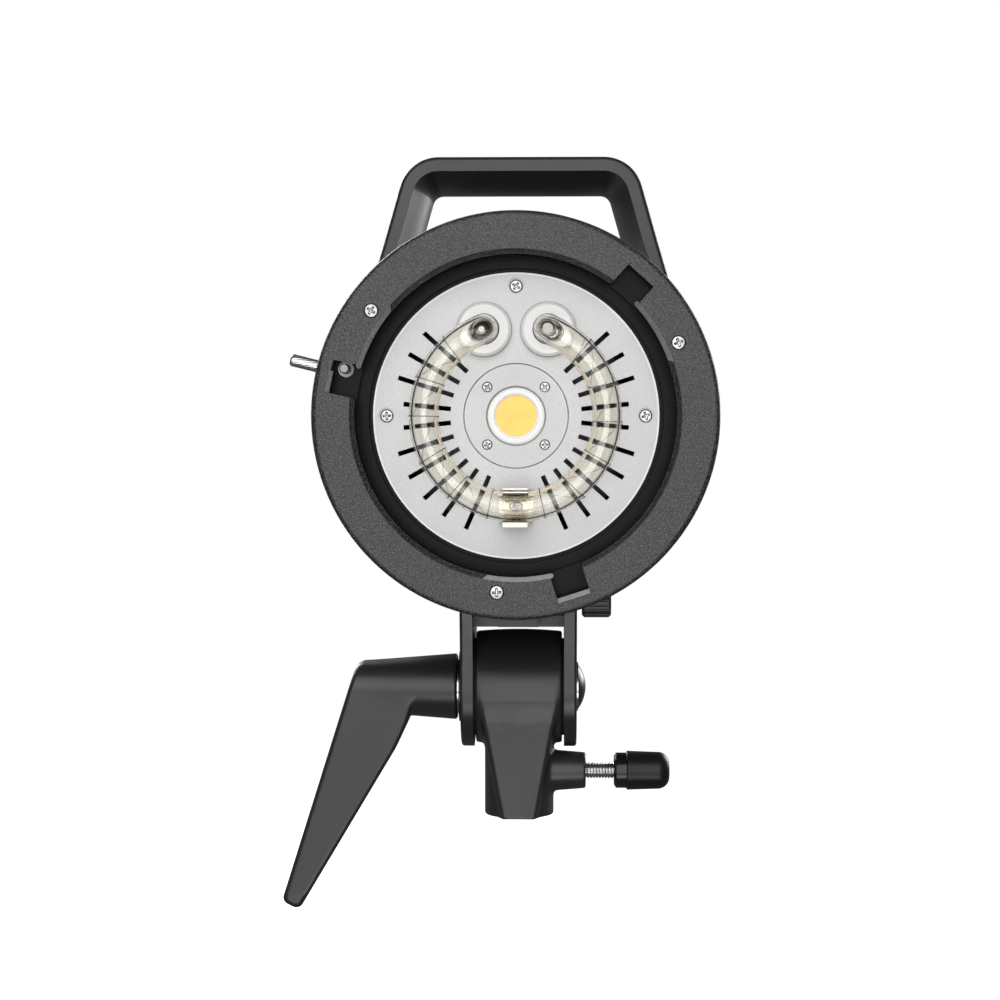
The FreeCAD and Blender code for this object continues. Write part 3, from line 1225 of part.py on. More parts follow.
# ---------------------------------------------------------------- everything
def main():
    os.makedirs("parts", exist_ok=True)
    save("tilt_block", tilt_block())
    save("boss_insert", boss_insert())
    save("friction_washers", *friction_washers())
    save("stand_screw", stand_screw())
    save("stand_knob_collar", stand_knob_collar())
    save("stand_knob_cap", stand_knob_cap())
    save("yoke", yoke())
    save("yoke_screws", *yoke_screws())
    save("pivot_bolt", pivot_bolt())
    save("steel_washers", *steel_washers())
    save("wear_washer", wear_washer())
    save("tilt_lever", tilt_lever())
    save("lever_insert", lever_insert())
    save("umbrella_screw", umbrella_screw())
    save("umbrella_knob", umbrella_knob())
    save("upper_housing", upper_housing())
    save("lower_housing", lower_housing())
    save("case_screws", *case_screws())
    save("handle", handle())
    save("handle_screws", *handle_screws())
    save("mount_base", mount_base())
    save("mount_ring", mount_ring())
    save("mount_ring_screws", *mount_ring_screws())
    save("lock_pin_guide", lock_pin_guide())
    save("lock_pin", lock_pin())
    save("release_rod", release_rod())
    save("lock_spring", lock_spring())
    save("reflector_plate", reflector_plate())
    save("reflector_plate_screws", *reflector_plate_screws())
    save("led_cover", led_cover())
    save("led_cover_screws", *led_cover_screws())
    save("led_holder_ring", led_holder_ring())
    save("led_module", led_module())
    save("led_heatsink", led_heatsink())
    save("flash_tube", flash_tube())
    save("tube_electrodes", *tube_electrodes())
    save("tube_bushings", *tube_bushings())
    save("trigger_wire", *trigger_wire())
    save("tube_clip", tube_clip())
    save("tube_clip_screw", tube_clip_screw())
    save("capacitors", *capacitors())
    save("power_board", *power_board())
    save("control_board", control_board())
    save("fan_frame", fan_frame())
    save("fan_rotor", fan_rotor())
    save("rear_panel", rear_panel())
    save("display", display())
    save("power_dial", power_dial())
    for name in BUTTON_PLACES:
        save(name, button(name))
    save("switch_housing", switch_housing())
    save("switch_rocker", switch_rocker())
    save("mains_inlet", mains_inlet())
    save("inlet_pins", *inlet_pins())
    save("fuse_cap", fuse_cap())
    save("sync_socket", sync_socket())
    save("slave_sensor", slave_sensor())


main()
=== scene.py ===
import math

import bmesh
import bpy
import numpy as np
from mathutils import Matrix, Vector


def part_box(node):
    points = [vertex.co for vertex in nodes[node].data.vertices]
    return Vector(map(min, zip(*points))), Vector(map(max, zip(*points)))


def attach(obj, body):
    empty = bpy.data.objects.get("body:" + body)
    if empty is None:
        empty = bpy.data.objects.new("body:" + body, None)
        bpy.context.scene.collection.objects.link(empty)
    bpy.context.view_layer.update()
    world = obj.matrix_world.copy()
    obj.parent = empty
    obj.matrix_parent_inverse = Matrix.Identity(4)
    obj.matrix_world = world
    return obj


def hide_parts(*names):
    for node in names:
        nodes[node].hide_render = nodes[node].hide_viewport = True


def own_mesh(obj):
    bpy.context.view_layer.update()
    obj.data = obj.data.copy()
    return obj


# Studio flash head: surface finishes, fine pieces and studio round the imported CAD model.
# Metres, +Z up, front towards -Y.

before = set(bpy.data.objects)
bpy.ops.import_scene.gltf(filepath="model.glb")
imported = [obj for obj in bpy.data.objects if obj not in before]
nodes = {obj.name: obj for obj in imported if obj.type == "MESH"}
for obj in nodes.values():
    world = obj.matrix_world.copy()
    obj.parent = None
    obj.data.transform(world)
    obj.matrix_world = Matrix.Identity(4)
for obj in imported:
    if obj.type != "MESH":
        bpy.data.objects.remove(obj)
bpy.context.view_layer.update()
MM = 0.001

# the lamp axis runs along Y through the middle of the mount ring
ring_low, ring_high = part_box("mount_ring")
AXIS_Z = (ring_low.z + ring_high.z) / 2
RING_FRONT = ring_low.y
PLATE_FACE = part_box("reflector_plate")[0].y

# mount ring: the step and ramps inside its opening, and the lug notches, whose end chamfers carry a painted
# highlight
STEP_R = 50.3 * MM
RAMP_R = 50.38 * MM
NOTCH_ANGLES = (48.0, 168.0, 288.0)
NOTCH_END_R = (56.75 * MM, 58.3 * MM)
# reflector plate: the painted shadow over the gap round the LED cover, and the painted highlight on the
# plate's rim
GAP_SHADOW_R = 16.10 * MM
GAP_SHADOW_HALF = 0.16 * MM
RIM_HIGHLIGHT_R = 43.55 * MM


def on_face(radius, degrees, y):
    """A point on the lamp's face, counter-clockwise from +X seen from the front."""
    return Vector((0, y, AXIS_Z)) + radial(math.radians(degrees)) * radius


def radial(angle):
    """The direction away from the lamp axis at an angle."""
    return Vector((math.cos(angle), 0, math.sin(angle)))


def tangent(angle):
    """The direction along a circle about the lamp axis at an angle."""
    return Vector((-math.sin(angle), 0, math.cos(angle)))


# ---------------------------------------------------------------- node helpers
class Shader:
    """A material under construction: one Principled shader fed by noise in object space."""

    def __init__(self, name):
        self.material = bpy.data.materials.new(name)
        self.material.use_nodes = True
        self.tree = self.material.node_tree
        self.principled = self.tree.nodes["Principled BSDF"]
        self.place = self.tree.nodes.new("ShaderNodeTexCoord").outputs["Object"]
        self.bump = None

    def add(self, kind, **settings):
        node = self.tree.nodes.new(kind)
        for key, value in settings.items():
            setattr(node, key, value)
        return node

    def link(self, out, into):
        self.tree.links.new(out, into)

    def fixed(self, **sockets):
        for key, value in sockets.items():
            self.principled.inputs[key.replace("_", " ")].default_value = value

    def noise(self, scale, detail=2.0, roughness=0.5, stretch=None):
        """Noise from 0 to 1 with about scale features per metre."""
        node = self.add("ShaderNodeTexNoise")
        node.inputs["Scale"].default_value = scale
        node.inputs["Detail"].default_value = detail
        node.inputs["Roughness"].default_value = roughness
        if stretch is None:
            self.link(self.place, node.inputs["Vector"])
        else:
            mapping = self.add("ShaderNodeMapping")
            mapping.inputs["Scale"].default_value = stretch
            self.link(self.place, mapping.inputs["Vector"])
            self.link(mapping.outputs["Vector"], node.inputs["Vector"])
        return node.outputs["Fac"]

    def cells(self, scale, feature="F1"):
        node = self.add("ShaderNodeTexVoronoi", feature=feature)
        node.inputs["Scale"].default_value = scale
        self.link(self.place, node.inputs["Vector"])
        return node.outputs["Distance"]

    def remap(self, value, low, high, to_low, to_high):
        node = self.add("ShaderNodeMapRange", clamp=True)
        for key, number in (("From Min", low), ("From Max", high), ("To Min", to_low), ("To Max", to_high)):
            node.inputs[key].default_value = number
        self.link(value, node.inputs["Value"])
        return node.outputs["Result"]

    def math(self, operation, a, b=None):
        node = self.add("ShaderNodeMath", operation=operation)
        for socket, value in zip(node.inputs, (a, b)):
            if value is None:
                continue
            if isinstance(value, (int, float)):
                socket.default_value = value
            else:
                self.link(value, socket)
        return node.outputs["Value"]

    def mix(self, share, first, second):
        """A colour between two others; each may be a colour or a socket."""
        node = self.add("ShaderNodeMix", data_type="RGBA")
        self.link(share, node.inputs["Factor"])
        for index, colour in ((6, first), (7, second)):
            if isinstance(colour, (tuple, list)):
                node.inputs[index].default_value = (*colour[:3], 1.0)
            else:
                self.link(colour, node.inputs[index])
        return node.outputs[2]

    def colour(self, value):
        self.link(value, self.principled.inputs["Base Color"])

    def blend(self, value, first, second):
        """A colour that goes from one to the other over the middle of a noise."""
        return self.mix(self.remap(value, 0.3, 0.7, 0.0, 1.0), first, second)

    def rough(self, value):
        self.link(value, self.principled.inputs["Roughness"])

    def rough_between(self, value, low, high):
        self.rough(self.remap(value, 0.3, 0.7, low, high))

    def raise_by(self, height, distance, strength=1.0):
        """Adds a layer of bump of that height in metres over those before it."""
        node = self.add("ShaderNodeBump")
        node.inputs["Distance"].default_value = distance
        node.inputs["Strength"].default_value = strength
        self.link(height, node.inputs["Height"])
        if self.bump is not None:
            self.link(self.bump, node.inputs["Normal"])
        self.bump = node.outputs["Normal"]
        self.link(self.bump, self.principled.inputs["Normal"])


def tone(level, tint=(1.0, 1.0, 1.0)):
    return tuple(level * t for t in tint)


def moulded(name, level, rough=0.5, grain=2600.0, depth=0.02, spread=0.25, tint=(1.0, 1.0, 1.02),
            specular=0.5):
    """Moulded plastic with a spark-eroded surface: fine grain, faint cloudiness and handling marks."""
    s = Shader(name)
    cloud = s.noise(45.0, 3.0)
    fine = s.noise(grain, 3.0, 0.6)
    base = s.blend(cloud, tone(level * (1 - spread / 2), tint), tone(level * (1 + spread / 2), tint))
    s.colour(s.mix(s.remap(fine, 0.35, 0.75, 0.0, 0.35), base, tone(level * 1.9, tint)))
    s.rough(s.math("ADD", s.remap(cloud, 0.3, 0.7, rough - 0.03, rough + 0.04),
                   s.remap(fine, 0.3, 0.7, -0.03, 0.03)))
    s.fixed(Specular_IOR_Level=specular)
    s.raise_by(fine, depth * MM)
    return s.material


def distance_from_axis(s):
    """Distance of the shaded point from the lamp axis."""
    split = s.add("ShaderNodeSeparateXYZ")
    s.link(s.place, split.inputs["Vector"])
    x, y = split.outputs["X"], split.outputs["Y"]
    z = s.math("SUBTRACT", split.outputs["Z"], AXIS_Z)
    return s.math("SQRT", s.math("ADD", s.math("MULTIPLY", x, x), s.math("MULTIPLY", z, z))), x, y, z


def powder_coat(name, level, rough, grain, depth):
    """Sandy baked-on paint, with unpainted metal on the ramps and a painted highlight on the chamfers at the
    notch ends, both faded by painted light towards the top.
    """
    s = Shader(name)
    sand = s.noise(grain, 3.0, 0.65)
    lumps = s.cells(grain * 0.8)
    height = s.math("SUBTRACT", sand, s.math("MULTIPLY", lumps, 0.35))
    wide = s.noise(60.0, 2.0)
    base = s.mix(s.remap(wide, 0.35, 0.65, 0.0, 1.0), tone(level * 0.92), tone(level * 1.08))
    pitted = s.mix(s.remap(height, 0.18, 0.40, 0.0, 1.0), tone(level * 0.12), base)
    paint = s.mix(s.remap(height, 0.38, 0.55, 0.0, 1.0), pitted, tone(level * 3.6))
    scuffs = s.noise(900.0, 3.0, 0.6)
    # colour of the unpainted ramps, also used as the painted highlight on the notch-end chamfers
    metal_and_highlight_colour = s.blend(scuffs, tone(0.30), tone(0.42))
    metal_and_highlight_share, out = metal_and_highlight_mask(s)
    s.colour(s.mix(metal_and_highlight_share, paint, metal_and_highlight_colour))
    s.rough_between(sand, rough + 0.08, rough - 0.08)
    # leans the step inside the opening towards the lamp axis
    s.raise_by(s.math("MINIMUM", out, STEP_R), 0.8)
    s.raise_by(height, depth * MM)
    return s.material


def metal_and_highlight_mask(s):
    """How much metal colour each point gets, and its radius: real unpainted metal on the ramps inside the
    ring's face, a painted highlight on the notch-end chamfers, and painted light that fades both towards the
    top.
    """
    out, x, y, z = distance_from_axis(s)
    ramp = s.math("LESS_THAN", out, RAMP_R)
    whole = s.math("MULTIPLY", ramp, s.math("LESS_THAN", y, RING_FRONT + 0.8 * MM))
    # painted highlight: the painted chamfers at each notch's end are coloured as bright metal
    for degrees in NOTCH_ANGLES:
        c, d = math.cos(math.radians(degrees)), math.sin(math.radians(degrees))
        along = s.math("ADD", s.math("MULTIPLY", x, c), s.math("MULTIPLY", z, d))
        side = s.math("ABSOLUTE", s.math("SUBTRACT", s.math("MULTIPLY", z, c), s.math("MULTIPLY", x, d)))
        reach = s.math("MULTIPLY", s.math("GREATER_THAN", along, NOTCH_END_R[0]),
                       s.math("LESS_THAN", along, NOTCH_END_R[1]))
        inside = s.math("MULTIPLY", s.math("LESS_THAN", side, 5.1 * MM),
                        s.math("GREATER_THAN", y, RING_FRONT + 0.03 * MM))
        whole = s.math("MAXIMUM", whole, s.math("MULTIPLY", reach, inside))
    # painted light: the metal colour and the notch-end highlight are full at the bottom and fall to 0.4 at
    # the top
    lit = s.remap(z, -55 * MM, 45 * MM, 1.0, 0.4)
    return s.math("MULTIPLY", whole, lit), out


def metal(name, colour, rough, metallic=1.0, grain=1800.0, depth=0.004, stretch=None):
    """Plated or machined metal: tiny tool marks, uneven polish and a little tarnish."""
    s = Shader(name)
    marks = s.noise(grain, 3.0, 0.6, stretch)
    cloud = s.noise(220.0, 3.0)
    dull = tuple(c * 0.88 for c in colour)
    s.colour(s.mix(s.remap(cloud, 0.35, 0.65, 0.0, 1.0), colour, dull))
    s.rough(s.math("ADD", s.remap(cloud, 0.3, 0.7, rough - 0.04, rough + 0.04),
                   s.remap(marks, 0.3, 0.7, -0.03, 0.03)))
    s.fixed(Metallic=metallic)
    s.raise_by(marks, depth * MM)
    return s.material


def blasted_aluminium(name, level):
    """Bead-blasted plate: a sparkling grey, with a painted shadow over the gap round the cover and a painted
    highlight on its rim.
    """
    s = Shader(name)
    pits = s.noise(3200.0, 4.0, 0.7)
    wide = s.noise(70.0, 2.0)
    base = s.blend(wide, tone(level * 0.97), tone(level * 1.03))
    blasted = s.mix(s.remap(pits, 0.3, 0.6, 1.0, 0.0), base, tone(level * 0.72))
    out = distance_from_axis(s)[0]
    # painted shadow: a near-black band over the real gap between the cover and the plate
    gap_shadow = s.math("LESS_THAN", s.math("ABSOLUTE", s.math("SUBTRACT", out, GAP_SHADOW_R)), GAP_SHADOW_HALF)
    # painted highlight: a lighter band on the plate's outer rim
    rim_highlighted = s.mix(s.math("GREATER_THAN", out, RIM_HIGHLIGHT_R), blasted, tone(0.64))
    s.colour(s.mix(gap_shadow, rim_highlighted, tone(0.03)))
    s.rough_between(pits, 0.42, 0.56)
    s.fixed(Metallic=0.55)
    s.raise_by(pits, 0.018 * MM)
    return s.material


def glass(name):
    """Quartz tube glass with faint draw lines."""
    s = Shader(name)
    s.fixed(Base_Color=(1.0, 0.985, 0.94, 1.0), Transmission_Weight=1.0, IOR=1.42, Roughness=0.0)
    s.raise_by(s.noise(420.0, 1.0), 0.006 * MM)
    return s.material


def ceramic(name, level, rough, glow):
    """White ceramic or plastic, with a little emission as a painted glow standing for the light it scatters
    inside.
    """
    s = Shader(name)
    grain = s.noise(1500.0, 3.0)
    cloud = s.noise(160.0, 2.0)
    s.colour(s.blend(cloud, tone(level, (1.0, 0.995, 0.98)), tone(level * 0.96, (1.0, 0.99, 0.97))))
    s.rough_between(grain, rough - 0.05, rough + 0.05)
    # painted glow: emission on parts that are no lamp
    s.fixed(Emission_Color=(1.0, 0.99, 0.97, 1.0), Emission_Strength=glow)
    s.raise_by(grain, 0.006 * MM)
    return s.material


def phosphor_gel(name):
    """The yellow phosphor layer over the light-emitting chips: a silicone gel with fine powder in it, and a
    little emission as a painted glow.
    """
    s = Shader(name)
    powder = s.noise(2600.0, 3.0, 0.7)
    cloud = s.noise(260.0, 2.0)
    base = s.blend(cloud, (1.0, 0.55, 0.09), (1.0, 0.62, 0.13))
    s.colour(s.mix(s.remap(powder, 0.4, 0.7, 0.0, 0.5), base, (1.0, 0.68, 0.2)))
    s.rough_between(powder, 0.34, 0.46)
    # painted glow: the emission stands for light the gel scatters
    s.fixed(Emission_Color=(1.0, 0.55, 0.1, 1.0), Emission_Strength=0.2)
    s.raise_by(powder, 0.006 * MM)
    return s.material


def board_green(name):
    s = Shader(name)
    tracks = s.cells(260.0, "DISTANCE_TO_EDGE")
    weave = s.noise(1600.0, 2.0)
    s.colour(s.mix(s.remap(tracks, 0.03, 0.06, 1.0, 0.0), (0.012, 0.09, 0.035), (0.03, 0.16, 0.06)))
    s.rough_between(weave, 0.28, 0.4)
    s.raise_by(weave, 0.01 * MM)
    return s.material


def display_pane(name):
    """Smoked display window: glossy, with faint wipe marks."""
    s = Shader(name)
    smear = s.noise(130.0, 4.0, 0.6, (1.0, 1.0, 0.25))
    s.colour(s.blend(smear, (0.006, 0.007, 0.009), (0.012, 0.013, 0.016)))
    s.rough(s.remap(smear, 0.35, 0.7, 0.05, 0.14))
    s.fixed(Coat_Weight=0.4, Coat_Roughness=0.05)
    return s.material


def lens_red(name):
    s = Shader(name)
    swirl = s.noise(400.0, 2.0)
    s.colour(s.blend(swirl, (0.45, 0.01, 0.012), (0.6, 0.02, 0.02)))
    s.rough_between(swirl, 0.05, 0.1)
    s.fixed(Transmission_Weight=0.35, IOR=1.49)
    return s.material


def lit_segments(name, colour, strength):
    s = Shader(name)
    glow = s.noise(900.0, 1.0)
    s.colour(s.blend(glow, colour, tuple(c * 0.85 for c in colour)))
    s.fixed(Roughness=0.5, Emission_Color=(*colour, 1.0), Emission_Strength=strength)
    return s.material


FINISHES = {material.name.split(".")[0]: material for material in (
    moulded("moulded_black", 0.021, rough=0.37, grain=2600.0, depth=0.008),
    metal("pin_steel", (0.17, 0.17, 0.175), 0.36, grain=2200.0, depth=0.004),
    metal("brass", (0.72, 0.49, 0.20), 0.32, stretch=(1.0, 6.0, 6.0)),
    moulded("fibre", 0.05, rough=0.8, grain=1500.0, depth=0.05, tint=(1.0, 0.85, 0.7)),
    metal("zinc_steel", (0.62, 0.63, 0.64), 0.26, grain=900.0, depth=0.0015),
    moulded("gloss_black", 0.008, rough=0.24, grain=900.0, depth=0.004, spread=0.15, specular=0.35),
    moulded("rubber_black", 0.009, rough=0.36, grain=1200.0, depth=0.004, spread=0.2, specular=0.26),
    moulded("black_painted_steel", 0.019, rough=0.36, grain=1900.0, depth=0.012),
    metal("black_screws", (0.05, 0.05, 0.053), 0.32, 0.9),
    moulded("knob_black", 0.024, rough=0.38, grain=1800.0, depth=0.008),
    moulded("housing_black", 0.028, rough=0.50, grain=1900.0, depth=0.03),
    moulded("handle_black", 0.017, rough=0.38, grain=2200.0, depth=0.01),
    moulded("satin_black_metal", 0.0035, rough=0.26, grain=1700.0, depth=0.02, spread=0.4, specular=0.08),
    metal("bright_screws", (0.40, 0.40, 0.405), 0.3, grain=2200.0, depth=0.003),
    metal("knurled_steel", (0.47, 0.475, 0.48), 0.25, grain=2500.0, depth=0.003),
    metal("spring_steel", (0.38, 0.355, 0.31), 0.18, grain=1400.0, depth=0.003, stretch=(0.2, 1.0, 1.0)),
    blasted_aluminium("blasted_aluminium", 0.53),
    ceramic("cream_plastic", 0.86, 0.3, 0.08),
    phosphor_gel("phosphor"),
    metal("plain_aluminium", (0.66, 0.67, 0.68), 0.38, stretch=(1.0, 12.0, 1.0), depth=0.006),
    glass("clear_glass"),
    metal("electrode_metal", (0.34, 0.33, 0.32), 0.18, grain=1600.0, depth=0.003),
    ceramic("white_ceramic", 0.80, 0.42, 0.05),
    metal("fine_wire", (0.30, 0.28, 0.26), 0.3, grain=4000.0, depth=0.002),
    moulded("capacitor_sleeve", 0.03, rough=0.3, grain=700.0, depth=0.01, tint=(0.7, 0.8, 1.3)),
    board_green("circuit_board"),
    moulded("fan_black", 0.02, rough=0.42, grain=1500.0, depth=0.01),
    moulded("panel_black", 0.020, rough=0.46, grain=2400.0, depth=0.015),
    display_pane("display_glass"),
    moulded("button_grey", 0.16, rough=0.52, grain=1600.0, depth=0.01, spread=0.1),
    moulded("button_red", 0.22, rough=0.45, grain=1600.0, depth=0.01, spread=0.1, tint=(1.6, 0.12, 0.1)),
    lens_red("red_lens"),
    powder_coat("ring_powder_coat", 0.037, 0.40, 2300.0, 0.10),
    moulded("print_white", 0.6, rough=0.5, grain=2500.0, depth=0.004, spread=0.06),
    ceramic("pellet", 0.42, 0.6, 0.0),
    lit_segments("digits", (0.55, 0.85, 1.0), 1.6),
)}

for name, node in nodes.items():
    slot_name = node.data.materials[0].name.split(".")[0]
    node.data.materials.clear()
    node.data.materials.append(FINISHES[slot_name])
for name in ("lock_pin", "lock_pin_guide"):
    nodes[name].data.materials[0] = FINISHES["pin_steel"]


# ---------------------------------------------------------------- mesh helpers
def placed(name, data):
    """A new object in the scene."""
    obj = bpy.data.objects.new(name, data)
    bpy.context.scene.collection.objects.link(obj)
    return obj


def dress(name, mesh, body, slot_name, replaces=(), angle=40.0, finish=None, smooth=True):
    """Puts a mesh in the scene with its finish, riding on a body in place of the nodes it replaces."""
    obj = placed(name, mesh)
    mesh.materials.clear()
    mesh.materials.append(finish or FINISHES[slot_name])
    if smooth:
        mesh.shade_smooth()
        mesh.set_sharp_from_angle(angle=math.radians(angle))
    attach(obj, body)
    if replaces:
        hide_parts(*replaces)
    return obj


def piece(name, verts, faces, *how, **options):
    """A closed piece with its faces turned outwards; the rest is as for dress."""
    return dress(name, recalculated(verts, faces, name), *how, **options)


def grid_faces(rows, columns, wrap, start=0):
    """Quads between consecutive rows of a grid of points; wrap closes each row on itself."""
    faces = []
    for r in range(rows - 1):
        for c in range(columns if wrap else columns - 1):
            n = (c + 1) % columns
            a = start + r * columns + c
            b = start + r * columns + n
            faces.append((a, b, b + columns, a + columns))
    return faces


def tube_faces(rows, around):
    """The side and the two ends of a tube made of closed rows."""
    last = (rows - 1) * around
    ends = [tuple(range(around)), tuple(reversed(range(last, last + around)))]
    return grid_faces(rows, around, True) + ends


def lathe(profile, place, segments):
    """A closed surface turned from (along, radius) pairs; place(along, out, angle) gives each point."""
    verts, faces = [], []
    rings = []
    for along, radius in profile:
        if radius < 1e-7:
            rings.append([len(verts)])
            verts.append(place(along, 0.0, 0.0))
        else:
            rings.append(list(range(len(verts), len(verts) + segments)))
            for k in range(segments):
                verts.append(place(along, radius, 2 * math.pi * k / segments))
    for first, second in zip(rings, rings[1:]):
        for k in range(segments):
            n = (k + 1) % segments
            if len(first) == 1 and len(second) == 1:
                continue
            if len(first) == 1:
                faces.append((first[0], second[n], second[k]))
            elif len(second) == 1:
                faces.append((first[k], first[n], second[0]))
            else:
                faces.append((first[k], first[n], second[n], second[k]))
    return verts, faces


def about_x(y, z):
    def place(along, out, angle):
        return (along, y + out * math.cos(angle), z + out * math.sin(angle))
    return place


def about_y(x, z):
    """Points turned about a line along Y, ordered so that a profile drawn backwards faces outwards."""
    def place(along, out, angle):
        return (x + out * math.sin(angle), along, z + out * math.cos(angle))
    return place


def rounded_profile(points, steps):
    """Replaces each inner point (along, radius, fillet) by an arc-like curve of that fillet size."""
    result = []
    for index, point in enumerate(points):
        along, radius = point[0], point[1]
        fillet = point[2] if len(point) > 2 else 0.0
        if fillet <= 0 or index in (0, len(points) - 1):
            result.append((along, radius))
            continue
        here = Vector((along, radius))
        before = Vector(points[index - 1][:2]) - here
        after = Vector(points[index + 1][:2]) - here
        half = before.angle(after) / 2
        reach = min(fillet / math.tan(half), before.length * 0.49, after.length * 0.49)
        p0 = here + before.normalized() * reach
        p2 = here + after.normalized() * reach
        for step in range(steps + 1):
            t = step / steps
            q = p0.lerp(here, t).lerp(here.lerp(p2, t), t)
            result.append((q.x, q.y))
    return result


def recalculated(verts, faces, name):
    """A mesh with its faces turned outwards and doubled points merged."""
    mesh = bpy.data.meshes.new(name)
    mesh.from_pydata([tuple(v) for v in verts], [], faces)
    work = bmesh.new()
    work.from_mesh(mesh)
    bmesh.ops.remove_doubles(work, verts=work.verts, dist=1e-7)
    bmesh.ops.recalc_face_normals(work, faces=work.faces)
    work.to_mesh(mesh)
    work.free()
    return mesh


def turned(name, start, profile, place, segments, *how, steps=5, **options):
    """A piece turned from (along, radius, fillet) points in millimetres, with along counted from start."""
    scaled = [(start + point[0] * MM, *(size * MM for size in point[1:])) for point in profile]
    verts, faces = lathe(rounded_profile(scaled, steps), place, segments)
    return piece(name, verts, faces, *how, **options)


def bevelled(obj, width, segments=2, angle=35.0):
    modifier = obj.modifiers.new("edges", "BEVEL")
    modifier.width = width
    modifier.segments = segments
    modifier.limit_method = "ANGLE"
    modifier.angle_limit = math.radians(angle)
    modifier.harden_normals = False
    return obj


# ---------------------------------------------------------------- moulded shapes
def soft_union(a, b, reach):
    """Joins two distance fields with a fillet of about that size."""
    share = np.clip(0.5 + 0.5 * (b - a) / reach, 0, 1)
    return b * (1 - share) + a * share - reach * share * (1 - share)


def rounded_meet(a, b, radius):
    """Where both fields are inside, with the edge between them rounded."""
    a, b = a + radius, b + radius
    return np.hypot(np.maximum(a, 0), np.maximum(b, 0)) + np.minimum(np.maximum(a, b), 0) - radius


def outline_distance(x, z, outline):
    """Signed distance to a closed outline, negative inside."""
    nearest = np.full(x.shape, np.inf)
    inside = np.zeros(x.shape, bool)
    for (ax, az), (bx, bz) in zip(outline, outline[1:] + outline[:1]):
        ex, ez = bx - ax, bz - az
        t = np.clip(((x - ax) * ex + (z - az) * ez) / (ex * ex + ez * ez), 0, 1)
        nearest = np.minimum(nearest, (x - ax - ex * t) ** 2 + (z - az - ez * t) ** 2)
        if ez:
            inside ^= ((az > z) != (bz > z)) & (x < ax + (z - az) * ex / ez)
    return np.where(inside, -1, 1) * np.sqrt(nearest)


def across(offset, axis, side):
    """A slice tuple taking all of a grid but its first or last layers."""
    slices = [slice(None)] * 3
    slices[axis] = slice(offset, None) if side else slice(None, -offset)
    return tuple(slices)


def solid_from_field(field, low, high, step):
    """The closed surface where a field of distances in millimetres is zero, as points and quads."""
    axes = [np.arange(a, b + step, step) for a, b in zip(low, high)]
    grid = np.stack(np.meshgrid(*axes, indexing="ij"), -1)
    value = field(grid)
    inside = value < 0
    cells = tuple(n - 1 for n in value.shape)
    total, count = np.zeros((*cells, 3)), np.zeros(cells)
    crossings = []
    for axis in range(3):
        a, b = value[across(1, axis, 0)], value[across(1, axis, 1)]
        where = np.argwhere((a < 0) != (b < 0))
        index = tuple(where.T)
        points = grid[index].copy()
        points[:, axis] += step * a[index] / (a[index] - b[index])
        others = [k for k in range(3) if k != axis]
        crossings.append((where, others, a[index] < 0, axis))
        for du in (0, 1):
            for dv in (0, 1):
                cell = where.copy()
                cell[:, others[0]] -= du
                cell[:, others[1]] -= dv
                np.add.at(total, tuple(cell.T), points)
                np.add.at(count, tuple(cell.T), 1)
    used = count > 0
    number = np.cumsum(used.ravel()).reshape(used.shape) - 1
    points = total[used] / count[used][:, None]
    for _ in range(3):
        points -= field_step(field, points, step)
    quads = []
    for where, others, leaving, axis in crossings:
        ring = []
        for du, dv in ((0, 0), (1, 0), (1, 1), (0, 1)):
            cell = where.copy()
            cell[:, others[0]] -= du
            cell[:, others[1]] -= dv
            ring.append(number[tuple(cell.T)])
        quad = np.stack(ring, 1)
        flip = leaving if axis != 1 else ~leaving
        quad[~flip] = quad[~flip][:, ::-1]
        quads.append(quad)
    return points * MM, np.concatenate(quads)


def field_step(field, points, step):
    """How far to move each point to reach the surface."""
    nudge = 0.04
    value = field(points)
    slope = np.stack([(field(points + nudge * unit) - field(points - nudge * unit)) / (2 * nudge)
                      for unit in np.eye(3)], 1)
    move = slope * (value / np.maximum((slope ** 2).sum(1), 0.2))[:, None]
    return np.clip(move, -step / 2, step / 2)


def field_piece(name, field, low, high, step, body, slot_name, replaces):
    points, quads = solid_from_field(field, low, high, step)
    mesh = bpy.data.meshes.new(name)
    mesh.from_pydata(points.tolist(), [], quads.tolist())
    return dress(name, mesh, body, slot_name, replaces, 48.0)


# millimetres: the pivot bolt's height, and the rounding of the lever's outline
PIVOT_Z = 43.0
CORNER_R = 2.6


def inset(outline, distance):
    """The outline with every edge moved inwards, for a clockwise list of points."""
    lines = []
    for a, b in zip(outline, outline[1:] + outline[:1]):
        along = (Vector(b) - Vector(a)).normalized()
        inward = Vector((along.y, -along.x)) * distance
        lines.append((Vector(a) + inward, along))
    points = []
    for (p, u), (q, v) in zip(lines[-1:] + lines[:-1], lines):
        t = ((q - p).cross(v)) / u.cross(v)
        points.append(tuple(p + u * t))
    return points


LEVER_OUTLINE = inset([(-26.0, 52.7), (-30.1, 46.2), (-34.8, 39.6), (-37.4, 31.3), (-41.5, 22.5),
                       (-74.4, -32.8), (-80.2, -29.6), (-54.4, 51.3)], CORNER_R)


def lever_field(p):
    """The clamp lever: a cone-shaped hub, and a blade that is round over the hub and thins to its tip."""
    x, y, z = p[..., 0], p[..., 1], p[..., 2]
    crown = 9.5
    thin = np.interp(z, (-34, -27, PIVOT_Z), (3.3, 4.9, crown))
    section = np.where(z > PIVOT_Z, np.hypot(y, z - PIVOT_Z) - crown, np.abs(y) - thin)
    blade = rounded_meet(outline_distance(x, z, LEVER_OUTLINE) - CORNER_R, section, 1.6)
    out = np.hypot(y, z - PIVOT_Z)
    cone = out - np.interp(x, (-53, -21), (8.6, 11.1))
    hub = rounded_meet(cone, np.abs(x + 36.9) - 16.15, 0.9)
    bore = np.maximum(out - 6.02, -46.8 - x)
    return np.maximum(soft_union(blade, hub, 1.0), -bore)


